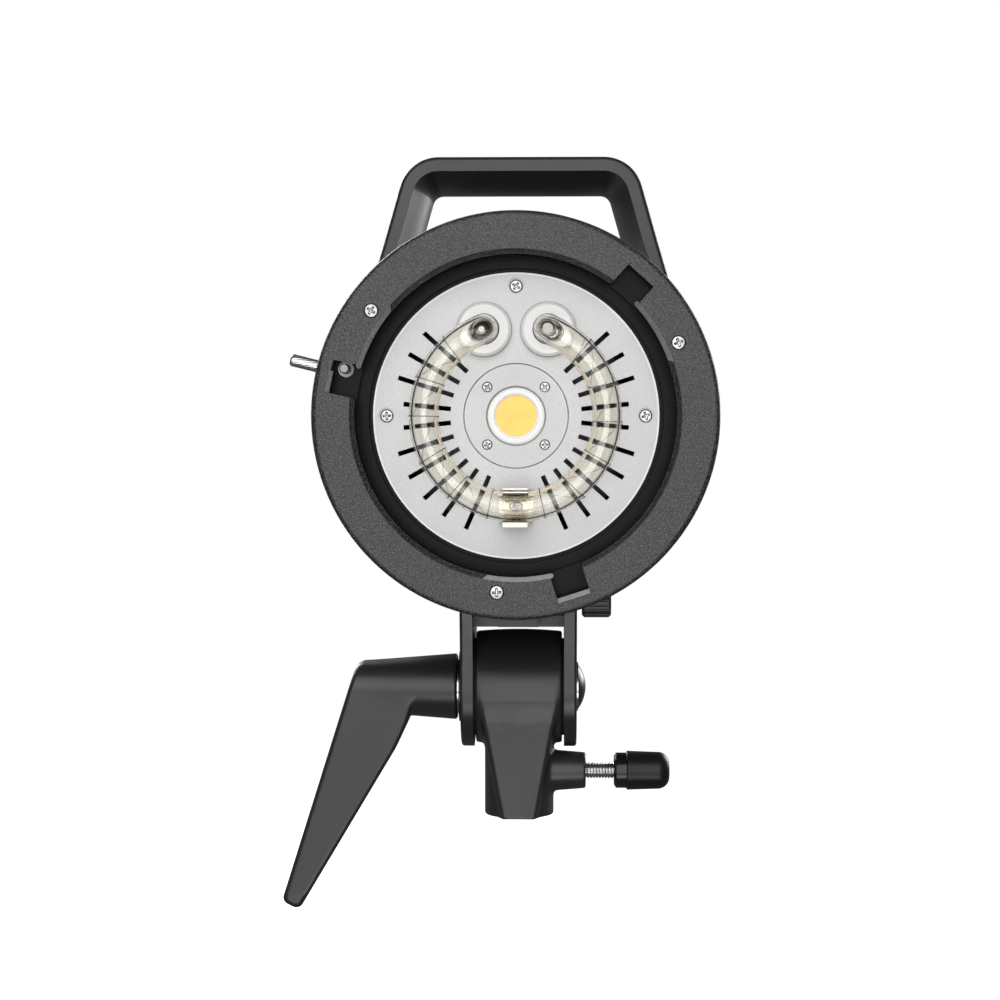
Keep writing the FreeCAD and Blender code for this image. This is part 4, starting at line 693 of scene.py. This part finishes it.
def block_field(p):
    """The tilt block: crowned barrel, stand socket, tapering ribs front and back, and the screw boss."""
    x, y, z = p[..., 0], p[..., 1], p[..., 2]
    out = np.hypot(y, z - PIVOT_Z)
    barrel = rounded_meet(out - (19.4 - 0.7 * (x / 14.4) ** 2), np.abs(x) - 14.4, 0.7)
    round_z = np.hypot(x, y)
    socket = rounded_meet(round_z - 11.6, np.abs(z - 21.5) - 21.5, 0.8)
    rib_y = (np.abs(y) - np.interp(z, (0, 40, 52), (14.3, 19.0, 15.6))) * 0.993
    rib_x = (np.abs(x) - np.interp(z, (0, 41), (6.0, 13.5))) * 0.984
    rib = rounded_meet(rounded_meet(rib_x, rib_y, 1.7), np.abs(z - 25.0) - 24.9, 0.5)
    hollows = np.exp(-((np.abs(x) - 6.5) / 4.0) ** 2 - ((z - 33.5) / 3.2) ** 2)
    rib = rib + 0.3 * hollows * (y < 0)
    boss_out = np.hypot(y, z - 14.7)
    boss = rounded_meet(boss_out - np.interp(x, (8, 22.4), (7.2, 6.0)), np.abs(x - 13.4) - 9.0, 0.6)
    whole = soft_union(soft_union(barrel, rib, 2.2), soft_union(socket, boss, 1.6), 1.6)
    cuts = [np.maximum(round_z - 8.1, z - 34.0), out - 4.12, np.maximum(out - 16.4, 13.6 - np.abs(x)),
            np.maximum(boss_out - 4.25, 6.1 - x)]
    for cut in cuts:
        whole = np.maximum(whole, -cut)
    return whole


# ---------------------------------------------------------------- screws
def screw_head(radius, height, recess, depth, segments=64, rings=26):
    """A pan head seen from above, as points (x, y, up): a low dome with a cross recess."""
    def up(x, y):
        share = math.hypot(x, y) / radius
        dome = height * (1 - 0.22 * share ** 2 - 0.78 * max(0.0, (share - 0.78) / 0.22) ** 2.2)
        reach = max(abs(x), abs(y)) / recess
        width = min(abs(x), abs(y)) / (recess * 0.27)
        core = math.hypot(x, y) / (recess * 0.42)
        inside = max(min(1.0, (1.0 - reach) * 3.0, (1.0 - width) * 2.2), min(1.0, (1.0 - core) * 3.0))
        fall = depth * (1 - 0.55 * min(1.0, reach))
        return dome - fall * max(0.0, min(1.0, inside))

    turns = [2 * math.pi * k / segments for k in range(segments)]
    verts = [(0.0, 0.0, up(0, 0))]
    for r in range(rings):
        size = radius * (r + 1) / rings
        for turn in turns:
            x, y = size * math.cos(turn), size * math.sin(turn)
            verts.append((x, y, up(x, y)))
    faces = [(0, 1 + k, 1 + (k + 1) % segments) for k in range(segments)]
    faces += [tuple(reversed(f)) for f in grid_faces(rings, segments, True, 1)]
    rim = 1 + (rings - 1) * segments
    base = len(verts)
    verts += [(radius * math.cos(t), radius * math.sin(t), -0.2 * MM) for t in turns]
    for k in range(segments):
        n = (k + 1) % segments
        faces.append((rim + k, base + k, base + n, rim + n))
    faces.append(tuple(base + k for k in reversed(range(segments))))
    return verts, faces


def screws(name, places, sizes, replaces):
    """Screw heads that face the front, with their undersides at places and each turned differently."""
    upright = Matrix(((1, 0, 0), (0, 0, -1), (0, 1, 0)))
    head_verts, head_faces = screw_head(*(size * MM for size in sizes))
    verts, faces = [], []
    for index, place in enumerate(places):
        spin = Matrix.Rotation(math.radians(20.0 + 37.0 * index), 3, "Z")
        start = len(verts)
        verts += [Vector(place) + upright @ (spin @ Vector(v)) for v in head_verts]
        faces += [tuple(start + i for i in f) for f in head_faces]
    return piece(name, verts, faces, "head", "bright_screws", replaces, 32.0)


# ---------------------------------------------------------------- threads and knurls
def threaded_shaft(name, node, pitch, depth):
    """A right-handed screw thread along X in place of a screw's node, with run-outs at both ends."""
    low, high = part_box(node)
    y, z = (low.y + high.y) / 2, (low.z + high.z) / 2
    radius = (high.z - low.z) / 2
    around, per_turn = 48, 12
    rows = int((high.x - low.x) / pitch * per_turn) + 1
    verts = []
    for r in range(rows):
        x = low.x + (high.x - low.x) * r / (rows - 1)
        ends = max(0.0, min(1.0, (x - low.x) / (pitch * 0.8), (high.x - x) / (pitch * 0.8)))
        for k in range(around):
            angle = 2 * math.pi * k / around
            phase = (x / pitch - k / around) % 1.0
            ridge = max(0.0, min(1.0, 1.08 - abs(phase - 0.5) * 2.7))
            out = radius - depth * (1 - ridge * ends) - (1 - ends) * depth * 0.5
            verts.append((x, y + out * math.cos(angle), z + out * math.sin(angle)))
    faces = [tuple(reversed(f)) for f in tube_faces(rows, around)]
    return piece(name, verts, faces, node, "zinc_steel", [node], 60.0)


def release_pin():
    """The knurled finger end of the lock release, with a plain neck and a chamfered tip."""
    low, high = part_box("release_rod")
    y, radius, neck = (low.y + high.y) / 2, (high.y - low.y) / 2, 1.3 * MM
    out = radial(math.radians(166.0))
    side = Vector((0, 1, 0))
    up = out.cross(side)
    start, shoulder, tip = 53.0 * MM, 57.4 * MM, 71.3 * MM
    knurl_start, knurl_end, run_out = shoulder + 0.8 * MM, tip - 1.0 * MM, 0.3 * MM
    chamfer_long, chamfer_deep = 0.5 * MM, 0.45 * MM
    grooves, twist, groove = 18, 3.4 / MM, 0.08 * MM
    rows, around = 190, 144
    verts = []
    for r in range(rows):
        along = start + (tip - start) * r / (rows - 1)
        size = neck if along < shoulder else radius
        size -= max(0.0, 1 - (tip - along) / chamfer_long) * chamfer_deep
        edge = max(0.0, min(1.0, (along - knurl_start) / run_out, (knurl_end - along) / run_out))
        for k in range(around):
            turn = 2 * math.pi * k / around
            cut = groove * edge * max(0.0, -math.cos(grooves * turn + along * twist))
            round_it = side * math.cos(turn) + up * math.sin(turn)
            verts.append(Vector((0, y, AXIS_Z)) + out * along + round_it * (size - cut))
    return piece("release_pin", verts, tube_faces(rows, around), "lock_release", "knurled_steel",
                 ["release_rod"], 50.0)


def coil_spring():
    """The lock pin's return spring, built at one length; the real one closes up as the pin is pulled back."""
    low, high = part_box("lock_spring")
    centre = (low + high) / 2
    wire = 0.22 * MM
    radius = (high.x - low.x) / 2 - wire
    turns, around, per_turn = 6.5, 10, 28
    steps = int(turns * per_turn)
    verts = []
    length = high.y - low.y - 2 * wire
    for s in range(steps + 1):
        share = s / steps
        angle = 2 * math.pi * turns * share
        flat = min(1.0, max(0.0, (share * turns - 0.8) / (turns - 1.6)))
        y = low.y + wire + length * flat
        out = radial(angle)
        middle = Vector((centre.x, y, centre.z)) + out * radius
        for k in range(around):
            turn = 2 * math.pi * k / around
            verts.append(middle + out * wire * math.cos(turn) + Vector((0, wire * math.sin(turn), 0)))
    spring = piece("return_spring", verts, tube_faces(steps + 1, around), "head", "spring_steel",
                   ["lock_spring"], 60.0)
    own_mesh(spring)
    return spring


# ---------------------------------------------------------------- flash tube
tube_low, tube_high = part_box("flash_tube")
TUBE_R = 4.5 * MM
TUBE_BORE_R = 3.5 * MM
TUBE_Y = tube_low.y + TUBE_R
TUBE_RING_R = (tube_high.x - tube_low.x) / 2 - TUBE_R
TUBE_BACK = tube_high.y
BEND_R = 5.5 * MM
BUSHING_X = 9.85 * MM
BUSHING_Z = 26.6 * MM
# millimetres along Y: the electrodes' front, and the seals behind them
ELECTRODE_FACE = -75.6
SEAL_FRONT, SEAL_BACK = -62.6, -59.8


def on_ring(angle):
    """The tube's centre point at an angle round the ring."""
    return Vector((0, TUBE_Y, AXIS_Z)) + radial(angle) * TUBE_RING_R


def tube_leg(angle, off, y_back, straight_steps=9, bend_steps=16):
    """Stations from the back of a leg round its bend; off points off the ring's end at that angle."""
    out = radial(angle)
    foot = on_ring(angle) + off * BEND_R
    stations = []
    for step in range(straight_steps):
        y = y_back + (TUBE_Y + BEND_R - y_back) * step / straight_steps
        stations.append((Vector((foot.x, y, foot.z)), Vector((0, -1, 0)), out))
    for step in range(bend_steps):
        turn = math.pi / 2 * step / bend_steps
        point = foot - off * BEND_R * (1 - math.cos(turn)) + Vector((0, BEND_R * (1 - math.sin(turn)), 0))
        stations.append((point, Vector((0, -math.cos(turn), 0)) - off * math.sin(turn), out))
    return stations, foot


def tube_line(y_back, ring_steps=220):
    """Centre points of the tube with their directions and outward sides, and where its right leg stands."""
    end = math.atan2(BUSHING_Z, BUSHING_X) - math.atan(BEND_R / TUBE_RING_R)
    start = math.pi - end
    first_leg, _ = tube_leg(start, -tangent(start), y_back)
    last_leg, foot = tube_leg(end, tangent(end), y_back)
    total = (2 * math.pi + end) - start
    ring = []
    for step in range(ring_steps + 1):
        angle = start + total * step / ring_steps
        ring.append((on_ring(angle), tangent(angle), radial(angle)))
    return first_leg + ring + [(point, -heading, out) for point, heading, out in reversed(last_leg)], foot


def glass_tube():
    """The ring-shaped tube: an outer and an inner skin joined by fire-polished ends."""
    stations, foot = tube_line(TUBE_BACK)
    around = 64
    verts = []
    for radius in (TUBE_R, TUBE_BORE_R):
        for point, heading, out in stations:
            across = heading.cross(out)
            for k in range(around):
                turn = 2 * math.pi * k / around
                verts.append(point + (out * math.cos(turn) + across * math.sin(turn)) * radius)
    rows = len(stations)
    outer = grid_faces(rows, around, True)
    inner = [tuple(reversed(f)) for f in grid_faces(rows, around, True, rows * around)]
    caps = []
    for row, flip in ((0, False), (rows - 1, True)):
        for k in range(around):
            n = (k + 1) % around
            a, b = row * around + k, row * around + n
            c, d = a + rows * around, b + rows * around
            caps.append((a, b, d, c) if flip else (b, a, c, d))
    tube = piece("glass_tube", verts, outer + inner + caps, "head", "clear_glass", ["flash_tube"], 60.0)
    tube.visible_shadow = False
    return foot


def electrode(name, x, z, setback, nose):
    """A sintered bead on its lead, with a rounded nose, and the seal behind it; setback and nose in mm."""
    front = ELECTRODE_FACE + setback
    seal, back = SEAL_FRONT - front, SEAL_BACK - front
    profile = [(0.0, 0.0), (0.0, nose, 0.15), (0.5, nose + 0.7, 0.4), (1.7, 2.75, 0.8), (5.2, 2.75, 0.3),
               (5.2, 1.7), (5.8, 1.0, 0.2), (seal, 1.0, 0.2), (seal, 3.3, 0.2), (back, 3.3, 0.3), (back, 0.0)]
    return turned(name, front * MM, profile, about_y(x, z), 72, "head", "electrode_metal",
                  ["tube_electrodes"], 35.0)


def emitter_disc(x, z):
    """The pale pressed pellet in the face of the right electrode."""
    profile = [(0.0, 0.0), (0.0, 1.55, 0.1), (0.4, 1.6), (0.4, 0.0)]
    return turned("emitter_disc", (ELECTRODE_FACE - 0.06) * MM, profile, about_y(x, z), 48, "head",
                  "electrode_metal", ["tube_electrodes"], 35.0, FINISHES["pellet"])


def trigger_winding():
    """One fine wire wound round the glass from one end of the ring to the other, in uneven turns."""
    crossings = [134.0, 158.0, 180.5, 206.0, 231.0, 254.0, 287.0, 309.0, 333.0, 356.0, 379.0, 404.0]
    leans = [7.0, -4.0, 1.0, -6.0, 3.0, -3.0, 4.0, -7.0, 2.0, -3.0, 8.0, -6.0]
    wire = 0.13 * MM
    gap = TUBE_R + wire + 0.02 * MM
    line = []
    steps = 40
    for index, (angle, lean) in enumerate(zip(crossings, leans)):
        following = crossings[index + 1] if index + 1 < len(crossings) else angle + 4.0
        for s in range(steps):
            share = s / steps
            turn = 2 * math.pi * share
            if share < 0.5:
                where = angle + lean * (share - 0.25)
            else:
                back = (share - 0.5) * 2
                soft = back * back * (3 - 2 * back)
                where = (angle + lean * 0.25) + (following - angle - lean * 0.25) * soft
            rad = math.radians(where)
            out = radial(rad)
            # starts at the outer side and passes over the front first
            side = out * math.cos(turn) - Vector((0, 1, 0)) * math.sin(turn)
            line.append(on_ring(rad) + side * gap)
    return wire_along("trigger_winding", line, wire, "head", "fine_wire", ["trigger_wire"], 60.0)


def wire_along(name, line, radius, *how, around=8):
    """A round wire along a smooth list of points."""
    verts = []
    side = Vector((0, 1, 0))
    for index, point in enumerate(line):
        before = line[max(index - 1, 0)]
        after = line[min(index + 1, len(line) - 1)]
        heading = (after - before).normalized()
        side = (side - heading * side.dot(heading)).normalized()
        across = heading.cross(side)
        for k in range(around):
            turn = 2 * math.pi * k / around
            verts.append(point + (side * math.cos(turn) + across * math.sin(turn)) * radius)
    return piece(name, verts, tube_faces(len(line), around), *how)


def strip_piece(name, line, widths, thick, *how):
    """A bent metal strip: line is its middle in (y, z), widths its half width along X at each point."""
    verts = []
    for index, (y, z) in enumerate(line):
        before = Vector(line[max(index - 1, 0)])
        after = Vector(line[min(index + 1, len(line) - 1)])
        heading = (after - before).normalized()
        side = Vector((-heading.y, heading.x)) * thick / 2
        for sign in (1, -1):
            for x in (-widths[index], widths[index]):
                verts.append((x, y + side.x * sign, z + side.y * sign))
    faces = []
    rows = len(line)
    for r in range(rows - 1):
        a = r * 4
        for i, j in ((0, 1), (1, 3), (3, 2), (2, 0)):
            faces.append((a + i, a + j, a + 4 + j, a + 4 + i))
    faces.append((0, 1, 3, 2))
    faces.append(tuple((rows - 1) * 4 + i for i in (2, 3, 1, 0)))
    return bevelled(piece(name, verts, faces, *how), 0.08 * MM)


def smooth_line(points, steps=8):
    """A Catmull-Rom curve through 2-D points."""
    result = []
    p = [Vector(points[0])] + [Vector(q) for q in points] + [Vector(points[-1])]
    for i in range(1, len(p) - 2):
        for s in range(steps):
            t = s / steps
            a, b, c, d = p[i - 1], p[i], p[i + 1], p[i + 2]
            square, cube = 2 * a - 5 * b + 4 * c - d, 3 * b - a - 3 * c + d
            q = 0.5 * ((2 * b) + (c - a) * t + square * t * t + cube * t ** 3)
            result.append((q.x, q.y))
    result.append(tuple(points[-1]))
    return result


def spring_clip():
    """The clip that holds the tube at the bottom: a wide foot, two arms and flared lips."""
    centre = AXIS_Z - TUBE_RING_R
    inner = TUBE_R + 0.25 * MM
    thick = 0.4 * MM
    arm = inner + thick / 2
    base = PLATE_FACE - thick / 2 - 0.02 * MM
    lip = TUBE_Y - 3.5 * MM
    half = [(base, 0.0), (base, 2.0 * MM), (base, arm - 0.9 * MM), (base - 0.25 * MM, arm - 0.25 * MM),
            (base - 0.9 * MM, arm), (TUBE_Y + 2.0 * MM, arm + 0.05 * MM),
            (TUBE_Y - 1.6 * MM, arm + 0.02 * MM),
            (lip, arm - 0.75 * MM), (lip - 0.55 * MM, arm - 0.55 * MM), (lip - 0.8 * MM, arm + 0.35 * MM),
            (lip - 0.85 * MM, arm + 0.95 * MM)]
    upper = smooth_line(half)
    line = [(y, centre - z) for y, z in reversed(upper[1:])] + [(y, centre + z) for y, z in upper]
    widths = []
    for y, z in line:
        rise = (base - y) / (base - TUBE_Y)
        widths.append((5.2 - 1.45 * min(1.0, max(0.0, rise * 1.3))) * MM)
    return strip_piece("spring_clip", line, widths, thick, "head", "spring_steel", ["tube_clip"])


# ---------------------------------------------------------------- modelling lamp
def modelling_lamp():
    """The chip's ceramic carrier, its glossy dam and the phosphor filling inside it."""
    place = about_y(0.0, AXIS_Z)
    top = PLATE_FACE + 1.8 * MM
    disc = [(0.05, 0.0), (0.03, 3.0), (0.12, 6.1), (0.25, 6.22), (0.9, 6.22), (0.9, 0.0)]
    turned("phosphor_disc", top, disc, place, 128, "head", "phosphor", ["led_module"], 35.0)
    dam = [(0.95, 6.22), (0.15, 6.24, 0.1), (-0.2, 6.42, 0.2), (-0.2, 6.62, 0.2), (0.2, 6.85, 0.1),
           (0.95, 6.9), (0.95, 6.22)]
    turned("phosphor_dam", top, dam, place, 128, "head", "cream_plastic", ["led_module"], 45.0)
    half = 7.7 * MM
    front, back = top + 0.95 * MM, top + 2.15 * MM
    corners = [(-half, -half), (half, -half), (half, half), (-half, half)]
    verts = [(x, y, AXIS_Z + z) for y in (front, back) for x, z in corners]
    faces = [(0, 1, 2, 3), (7, 6, 5, 4)] + [(i, i + 4, (i + 1) % 4 + 4, (i + 1) % 4) for i in range(4)]
    bevelled(piece("chip_carrier", verts, faces, "head", "white_ceramic", ["led_module"]), 0.3 * MM, 3)


# ---------------------------------------------------------------- knobs
def stand_knob():
    """The clamping screw's hard collar and the soft cap with its rounded nose."""
    low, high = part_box("stand_knob_collar")
    cap_low, cap_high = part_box("stand_knob_cap")
    place = about_x(0.0, (low.z + high.z) / 2)
    length = (cap_low.x - low.x) / MM + 0.3
    collar = [(0.05, 2.95), (0.0, 4.9, 0.2), (0.7, 5.95, 0.4), (length, 5.95, 0.2), (length, 2.95)]
    turned("knob_collar", low.x, collar, place, 96, "stand_knob", "gloss_black", ["stand_knob_collar"], 35.0)
    length, nose, steps = (cap_high.x - cap_low.x) / MM, 3.9, 14
    sleeve = [(0.0, 5.0), (0.0, 6.3, 0.25), (0.35, 6.6, 0.3), (0.9, 6.52)]
    for step in range(steps + 1):
        turn = math.pi / 2 * step / steps
        sleeve.append((length - nose * (1 - math.sin(turn)), 2.3 + nose * math.cos(turn)))
    sleeve.append((length, 0.0))
    turned("knob_sleeve", cap_low.x, sleeve, place, 128, "stand_knob", "rubber_black", ["stand_knob_cap"],
           50.0, steps=8)


# ---------------------------------------------------------------- rear panel print and display
def flat_print(name, quads, y, thick, slot_name, finish):
    """Thin raised print on a face of constant y that looks towards +Y."""
    verts, faces = [], []
    for quad in quads:
        start = len(verts)
        for depth in (0.0, thick):
            for x, z in quad:
                verts.append((x, y + depth, z))
        n = len(quad)
        faces.append(tuple(start + i for i in range(n)))
        faces.append(tuple(start + n + i for i in reversed(range(n))))
        for i in range(n):
            j = (i + 1) % n
            faces.append((start + i, start + j, start + n + j, start + n + i))
    return piece(name, verts, faces, "head", slot_name, finish=finish, smooth=False)


def bar(x, z, length, width, degrees):
    """The corners of a bar about a middle point, turned by an angle."""
    dx, dz = math.cos(math.radians(degrees)), math.sin(math.radians(degrees))
    ends = []
    for a, b in ((-1, -1), (1, -1), (1, 1), (-1, 1)):
        along, sideways = a * length / 2, b * width / 2
        ends.append((x + dx * along - dz * sideways, z + dz * along + dx * sideways))
    return ends


def seven_segments(lit, x, z, width, height, stroke):
    """The lit bars of one digit, seen from behind the panel, so x runs the other way."""
    level = {"a": height / 2, "g": 0.0, "d": -height / 2}
    upright = {"f": (1, 1), "b": (-1, 1), "e": (1, -1), "c": (-1, -1)}
    quads = []
    for segment in lit:
        if segment in level:
            quads.append(bar(x, z + level[segment], width - stroke * 1.2, stroke, 0))
        else:
            sx, sz = upright[segment]
            quads.append(bar(x + sx * width / 2, z + sz * height / 4, height / 2 - stroke * 1.2, stroke, 90))
    return quads


def rear_print():
    """Ticks round the dial, and the reading 5.0 on the display."""
    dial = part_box("power_dial")
    cx, cz = (dial[0].x + dial[1].x) / 2, (dial[0].z + dial[1].z) / 2
    ticks, first_tick, tick_step, inner, half_height = 21, 225.0, 13.5, 14.6, 19 * MM
    quads = []
    for k in range(ticks):
        degrees = first_tick - tick_step * k
        long = 2.0 if k % 5 == 0 else 1.2
        out = radial(math.radians(degrees)) * (inner + long / 2) * MM
        if abs(cz + out.z - AXIS_Z) < half_height:
            quads.append(bar(cx + out.x, cz + out.z, long * MM, 0.35 * MM, degrees))
    panel_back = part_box("rear_panel")[1].y
    flat_print("dial_scale", quads, panel_back, 0.03 * MM, "button_grey", FINISHES["print_white"])
    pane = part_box("display")
    px, pz = (pane[0].x + pane[1].x) / 2, (pane[0].z + pane[1].z) / 2
    width, height, stroke = 6.4 * MM, 11.0 * MM, 1.2 * MM
    quads = seven_segments("afgcd", px + 7.5 * MM, pz, width, height, stroke)
    quads += seven_segments("abcdef", px - 5.5 * MM, pz, width, height, stroke)
    quads.append(bar(px + 1.2 * MM, pz - 5.6 * MM, stroke, stroke, 0))
    flat_print("display_digits", quads, pane[1].y, 0.02 * MM, "display_glass", FINISHES["digits"])


# ---------------------------------------------------------------- build
foot = glass_tube()
field_piece("clamp_lever", lever_field, (-80.6, -12.0, -33.6), (-19.8, 12.0, 55.4), 0.55, "tilt_lever",
            "black_painted_steel", ["tilt_lever"])
field_piece("stand_block", block_field, (-15.6, -20.6, -1.1), (23.6, 20.6, 63.6), 0.55, "stand_receiver",
            "moulded_black", ["tilt_block"])
electrode("electrode_left", -foot.x - 0.6 * MM, foot.z - 0.3 * MM, 0.25, 0.9)
electrode("electrode_right", foot.x, foot.z, 0.0, 1.6)
emitter_disc(foot.x, foot.z)
trigger_winding()
spring_clip()
modelling_lamp()

COVER_SCREW = 8.87 * MM
ring_places = [on_face(53.8 * MM, angle, RING_FRONT) for angle in (24.0, 144.0, 264.0)]
plate_places = [on_face(39.9 * MM, angle, PLATE_FACE + 0.7 * MM) for angle in (0.0, 90.0, 180.0)]
cover_places = [(sx * COVER_SCREW, PLATE_FACE + 0.35 * MM, AXIS_Z + sz * COVER_SCREW)
                for sx in (-1, 1) for sz in (-1, 1)]
clip_places = [(0.0, PLATE_FACE - 0.45 * MM, AXIS_Z - TUBE_RING_R)]
# head radius, height, recess reach and recess depth in millimetres
screws("ring_screw_heads", ring_places, (2.3, 1.0, 1.45, 0.75), ["mount_ring_screws"])
screws("plate_screw_heads", plate_places, (2.1, 0.8, 1.35, 0.7), ["reflector_plate_screws"])
screws("cover_screw_heads", cover_places, (1.6, 0.75, 1.05, 0.6), ["led_cover_screws"])
screws("clip_screw_head", clip_places, (2.2, 1.3, 1.4, 0.9), ["tube_clip_screw"])

threaded_shaft("stand_thread", "stand_screw", 1.0 * MM, 0.6 * MM)
threaded_shaft("umbrella_thread", "umbrella_screw", 0.7 * MM, 0.36 * MM)
release_pin()
coil_spring()
stand_knob()
rear_print()

# small edge rounds, in millimetres, on the CAD pieces whose edges show
for name, width in (("mount_ring", 0.22), ("mount_base", 0.25), ("reflector_plate", 0.22),
                    ("led_cover", 0.18), ("led_holder_ring", 0.15), ("yoke", 0.35), ("tube_bushings", 0.2),
                    ("rear_panel", 0.2), ("umbrella_knob", 0.12)):
    bevelled(nodes[name], width * MM, 3, 40.0)


# ---------------------------------------------------------------- studio
def area_light(name, place, aim, width, height, power):
    lamp = bpy.data.lights.new(name, "AREA")
    lamp.shape = "RECTANGLE"
    lamp.size = width
    lamp.size_y = height
    lamp.energy = power
    obj = placed(name, lamp)
    obj.location = place
    obj.rotation_euler = (Vector(aim) - Vector(place)).to_track_quat("-Z", "Y").to_euler()


def studio():
    """A white room: large soft lights in front, two rim lights behind, and a pale glowing floor."""
    scene = bpy.context.scene
    scene.view_settings.view_transform = "Standard"
    world = bpy.data.worlds.new("studio")
    scene.world = world
    world.use_nodes = True
    tree = world.node_tree
    # the camera sees pure white, and the object is lit by a dimmer one
    dim = tree.nodes["Background"]
    seen = tree.nodes.new("ShaderNodeBackground")
    for node, strength in ((dim, 0.14), (seen, 1.0)):
        node.inputs["Color"].default_value = (1.0, 1.0, 1.0, 1.0)
        node.inputs["Strength"].default_value = strength
    ray = tree.nodes.new("ShaderNodeLightPath")
    mix = tree.nodes.new("ShaderNodeMixShader")
    tree.links.new(ray.outputs["Is Camera Ray"], mix.inputs["Fac"])
    tree.links.new(dim.outputs["Background"], mix.inputs[1])
    tree.links.new(seen.outputs["Background"], mix.inputs[2])
    tree.links.new(mix.outputs["Shader"], tree.nodes["World Output"].inputs["Surface"])

    middle, behind = (0.0, -0.05, 0.12), (0.0, 0.06, 0.13)
    area_light("key", (-0.10, -1.9, 0.52), middle, 1.7, 2.2, 36.0)
    area_light("low", (0.1, -1.2, -0.80), middle, 1.0, 0.5, 8.0)
    area_light("back_left", (-0.9, 1.3, 0.9), behind, 0.9, 0.9, 22.0)
    area_light("back_right", (1.0, 1.2, 0.5), behind, 0.7, 0.9, 14.0)

    floor_mesh = bpy.data.meshes.new("floor")
    level = -0.30
    corners = [(x, y, level) for x, y in ((-4, -4), (4, -4), (4, 4), (-4, 4))]
    floor_mesh.from_pydata(corners, [], [(0, 1, 2, 3)])
    floor = placed("floor", floor_mesh)
    s = Shader("studio_floor")
    cloud = s.noise(3.0, 2.0)
    s.colour(s.blend(cloud, (0.90, 0.90, 0.90), (0.94, 0.94, 0.94)))
    s.rough_between(cloud, 0.7, 0.8)
    s.fixed(Emission_Color=(1.0, 1.0, 1.0, 1.0), Emission_Strength=0.9)
    floor_mesh.materials.append(s.material)
    floor.visible_diffuse = False
    floor.visible_glossy = False


def camera():
    """A long lens straight in front, a little above the stand, aimed slightly down and to the left."""
    data = bpy.data.cameras.new("camera")
    data.sensor_width = 36.0
    data.lens = 83.412
    data.clip_start = 0.02
    data.clip_end = 50.0
    obj = placed("camera", data)
    obj.location = (0.0120, -0.780, AXIS_Z - 0.00743)
    # the view's middle is 5.5% of the frame's width left of straight ahead, and 6% below it
    aim = Vector((-0.055, data.lens / data.sensor_width, -0.060))
    obj.rotation_euler = aim.to_track_quat("-Z", "Y").to_euler()
    bpy.context.scene.camera = obj


studio()
camera()
